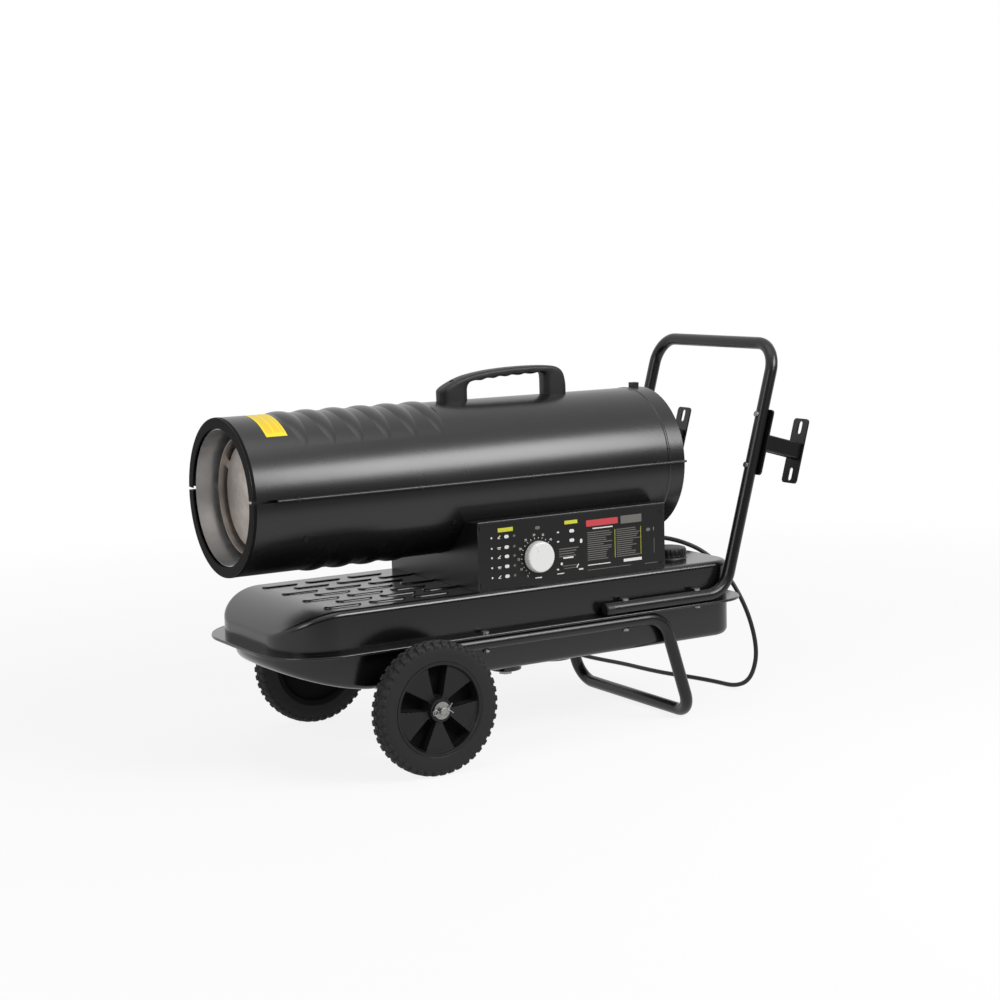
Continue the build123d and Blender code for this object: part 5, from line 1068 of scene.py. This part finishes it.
# %% Bosses
boss_length, boss_width, plateau_z = 60.0, 19.0, 248.8
boss_rows, boss_first_x, boss_step, boss_row_step, box_front_x = 7, -345.0, 74.0, 36.0, -131.0
inset, up = np.array([(0.0, 0.0), (0.2, 1.0), (0.9, 1.7), (2.2, 2.1), (4.2, 2.2), (9.49, 2.2)]).T[..., None]
turn = whole_turn(48) + pi / 48
straight, end_r = 0.5 * (boss_length - boss_width), 0.5 * boss_width - inset
bosses = []
for row in range(boss_rows):
    for x in boss_first_x + boss_step * (np.arange(4) + 0.5 * (row % 2)):
        if x + 0.5 * boss_length < box_front_x + 2:
            y = (row - 0.5 * (boss_rows - 1)) * boss_row_step
            ring_x = x + np.sign(np.cos(turn)) * straight + end_r * np.cos(turn)
            bosses.append(tube(at(ring_x, y + end_r * np.sin(turn), plateau_z + up) * MM))
dressed("tank_bosses", bosses, "heater", "tank_paint")
print("bosses", len(bosses))

# %% [markdown]
# ## Filler cap
# The cap is a ribbed skirt with a domed top whose middle is raised a little. Its wall is real: the grid runs
# from the middle of the inner roof down the inner wall, under the rim, up the ribs and over the top.

# %% Cap
cap_x, cap_y = 282 * MM, -56 * MM
cap_ribs, rib_depth, cap_steps, ribbed_out, ribbed_up = 24, 0.9, 384, 28.9, 252.2
station = np.array([263.5, 263.5, 263.1, 251.4, 251, 251, 251.6, 254,
                    262.0, 264.6, 265.2, 265.0, 265.6, 265.9, 265.9])
radius = np.array([0.01, 26.8, 28.0, 28.0, 28.6, 29.8, 30.5, 30.5, 30.3, 28.8, 26.0, 23.5, 22.0, 12.0, 0.01])
profile = eased(np.stack([station, radius], 1), 5)
angle = whole_turn(cap_steps)
outside = np.arange(len(profile)) > np.argmin(profile[:, 0])
grip = outside * ramp(profile[:, 1] - ribbed_out, 1.0) * ramp(profile[:, 0] - ribbed_up, 1.0)
out = profile[:, 1, None] - rib_depth * grip[:, None] * ramp(np.cos(cap_ribs * angle) + 0.1, 0.7)[None]
cap_grid = lathe(profile[:, 0] * MM, out * MM, "z", (cap_x, cap_y, 0), cap_steps)
dressed("cap_skirt", [tube(cap_grid)], "cap", "black_plastic", "fuel_cap")
print("cap ribs", cap_ribs)

# %% [markdown]
# ## Fan and guard
# Behind the guard, an axial fan has five twisted blades. A blade's section is a thin curved foil whose
# pitch eases from steep at the hub to flat at the tip, because the tip moves faster.

# %% Fan
fan_front, fan_depth, fan_r, hub_out, blades = 33 * MM, 34 * MM, 98 * MM, 24 * MM, 5
blade_root, foil_edge, foil_arch, round_tip_from, tip_taper = hub_out * 0.9, 0.9 * MM, 0.10, 0.9, 0.35
root_chord, chord_swell, root_pitch, pitch_drop = 40, 22, 46, 22


def blade(turn):
    """A blade: stations out along the radius, each a closed foil of width chord at its own pitch."""
    share = np.linspace(0, 1, 22)[:, None]
    out = blade_root + (fan_r - blade_root) * share
    foil = whole_turn(28)[None]
    chord = (root_chord + chord_swell * np.sin(pi * (0.15 + 0.6 * share))) * MM
    pitch = np.radians(root_pitch - pitch_drop * share)
    run = 0.5 * chord * np.cos(foil)
    arch = foil_arch * chord * (1 - np.cos(foil) ** 2) * 0.5
    thick = foil_edge * np.sin(foil) * (1 - 0.4 * np.cos(foil)) + arch
    tip = np.maximum(share - round_tip_from, 0) / (1 - round_tip_from)
    rounding = np.sqrt(np.clip(1 - tip**2 * tip_taper, 0, 1))
    x = fan_front + fan_depth / 2 + (run * np.sin(pitch) + thick * np.cos(pitch)) * rounding
    swing = (run * np.cos(pitch) - thick * np.sin(pitch)) * rounding
    return about_barrel(np.clip(x, fan_front, fan_front + fan_depth), out, turn + swing / out)


fan_grids = [tube(blade(2 * pi * k / blades)) for k in range(blades)]
hub_station = np.array([31, 33, 36, 48, 62, 65, 67, 67]) * MM
hub_radius = np.array([5.2, 21, 24, 24.5, 24.5, 24, 21, 5.2]) * MM
fan_grids.append(loop(lathe(hub_station, hub_radius, "x", (0, 0, barrel_axis_z), 64)))
dressed("fan_rotor_casting", fan_grids, "fan_rotor", "aluminium", "fan")
print("fan blades", blades)

# %% [markdown]
# The guard is round wire: rings on spokes, with a pressed disc in the middle. Each wire is a round
# section carried along its line.

# %% Guard
guard_x, ring_back, spoke_front = 263.5 * MM, 1.6 * MM, 1.2 * MM
guard_rings, guard_spokes = (22, 44, 66, 88, 108), 6
ring_wire, spoke_wire, spoke_along = 1.5 * MM, 2.0 * MM, np.linspace(8, 116.2, 24) * MM
turn = whole_turn(160)
rings = []
for ring_r in guard_rings:
    path = about_barrel(guard_x + ring_back, ring_r * MM, turn)
    rings.append(loop(wire(path, ring_wire, level=(1, 0, 0), sides=10, closed=True)))
for spoke in range(guard_spokes):
    path = about_barrel(guard_x - spoke_front, spoke_along, 2 * pi * (spoke + 0.5) / guard_spokes)
    rings.append(tube(wire(path, spoke_wire, level=(1, 0, 0), sides=10)))
disc_station = guard_x + np.array([-3.2, -3.2, -1.0, 2.4, 3.2, 3.2]) * MM
disc_radius = np.array([0.01, 10.5, 12.5, 12.0, 9.0, 0.01]) * MM
rings.append(tube(lathe(disc_station, disc_radius, "x", (0, 0, barrel_axis_z), 48)))
dressed("guard_wires", rings, "heater", "tube_paint", "rear_guard")
print("guard rings", len(guard_rings))

# %% [markdown]
# ## Floor, backdrop and light
# The floor and the background are white to the camera but send out little light of their own, so the
# black finish stays black. In reflections they are bright only behind the heater and overhead, and dark
# on the side of the control panel. The floor glows a little less near the heater, so its shadow shows.

# %% Floor
def white_to_the_eye(tree):
    """1 for camera, glossy and transmission rays, and 0 for the rest."""
    rays = add(tree, "LightPath").outputs
    seen = sums(tree, "MAXIMUM", rays["Is Camera Ray"], rays["Is Glossy Ray"])
    return sums(tree, "MAXIMUM", seen, rays["Is Transmission Ray"])


room_light, room_dark = 0.30, 0.15
floor_half, floor_tone, floor_dark_y, floor_bright_y = 9.0, (0.80, 0.80, 0.80, 1), -1.65, -0.95
contact_r, open_r, contact_glow = 0.7, 2.4, 0.86
corners = np.array([(-1, -1), (1, -1), (1, 1), (-1, 1)]) * floor_half
floor_mesh = bpy.data.meshes.new("floor")
floor_mesh.from_pydata([(*c, 0) for c in corners.tolist()], [], [(0, 1, 2, 3)])
floor = into_scene("floor", floor_mesh)
floor_paint = bpy.data.materials.new("floor_paint")
floor_paint.use_nodes = True
tree = floor_paint.node_tree
tree.nodes.clear()
matt = add(tree, "BsdfDiffuse", {"Color": floor_tone}).outputs[0]
spot = add(tree, "TexCoord").outputs["Object"]
away = add(tree, "VectorMath", {0: spot}, operation="LENGTH").outputs["Value"]
towards = add(tree, "SeparateXYZ", {0: spot}).outputs["Y"]
glossy = add(tree, "LightPath").outputs["Is Glossy Ray"]
lit = spread(tree, towards, floor_dark_y, floor_bright_y, room_dark, 1.0)
glow_strength = sums(tree, "ADD", sums(tree, "SUBTRACT", 1.0, glossy), sums(tree, "MULTIPLY", glossy, lit))
glow = add(tree, "Emission", {"Color": (1, 1, 1, 1), "Strength": glow_strength}).outputs[0]
glow_near = spread(tree, away, contact_r, open_r, contact_glow, 1.0)
glow_share = sums(tree, "MULTIPLY", white_to_the_eye(tree), glow_near)
mixed = add(tree, "MixShader", {0: glow_share, 1: matt, 2: glow}).outputs[0]
add(tree, "OutputMaterial", {"Surface": mixed})
floor_mesh.materials.append(floor_paint)
print("floor laid")

# %% [markdown]
# The background's strength depends on the kind of ray: full for what the camera sees, weaker for the
# light that falls on matt surfaces, and for reflections a fade by direction.

# %% Background
world = bpy.data.worlds.new("studio")
scene.world = world
world.use_nodes = True
tree = world.node_tree
heading = add(tree, "SeparateXYZ", {0: add(tree, "TexCoord").outputs["Generated"]}).outputs
backdrop_fade, ceiling_fade = (-0.35, 0.05), (0.40, 0.66)
backdrop = spread(tree, heading["Y"], *backdrop_fade, 0.0, 1.0)
ceiling = spread(tree, heading["Z"], *ceiling_fade, 0.0, 1.0)
bright = spread(tree, sums(tree, "MAXIMUM", backdrop, ceiling), 0.0, 1.0, room_dark, 1.0)
rays = add(tree, "LightPath").outputs
mirrored = sums(tree, "MULTIPLY", rays["Is Glossy Ray"], bright)
plain = sums(tree, "MAXIMUM", rays["Is Camera Ray"], rays["Is Transmission Ray"])
lit = sums(tree, "MULTIPLY", rays["Is Diffuse Ray"], room_light)
strength = sums(tree, "ADD", sums(tree, "MAXIMUM", mirrored, plain), lit)
tree.links.new(strength, tree.nodes["Background"].inputs["Strength"])
tree.nodes["Background"].inputs["Color"].default_value = (1, 1, 1, 1)
print("background set")

# %% [markdown]
# One softbox stands on the panel's side, where the barrel mirrors it as the long soft band. A wide one
# hangs overhead, and a third one lights the outlet.

# %% Lamps
def softbox(name, centre, target, width, height, radiance):
    """An area lamp of that size at centre, turned to target. Radiance is its brightness as seen."""
    data = bpy.data.lights.new(name, "AREA")
    data.shape = "RECTANGLE"
    data.size, data.size_y = width, height
    data.energy = radiance * pi * width * height
    lamp = into_scene(name, data)
    back = np.asarray(centre, float) - target
    back /= np.linalg.norm(back)
    side = np.cross((0, 0, 1), back)
    side /= np.linalg.norm(side)
    placed(lamp, side, np.cross(back, side), back, centre)
    lamp.visible_camera = False


softbox("side_softbox", (0.98, -1.75, 1.50), (0.0, 0.0, 0.42), 1.25, 0.85, 13.0)
softbox("overhead_softbox", (-0.3, -0.2, 2.4), (-0.1, 0.0, 0.3), 2.2, 1.2, 1.3)
softbox("front_softbox", (-2.2, -0.9, 1.2), (-0.4, 0.0, 0.35), 0.9, 0.9, 5.0)
print("lamps hung")
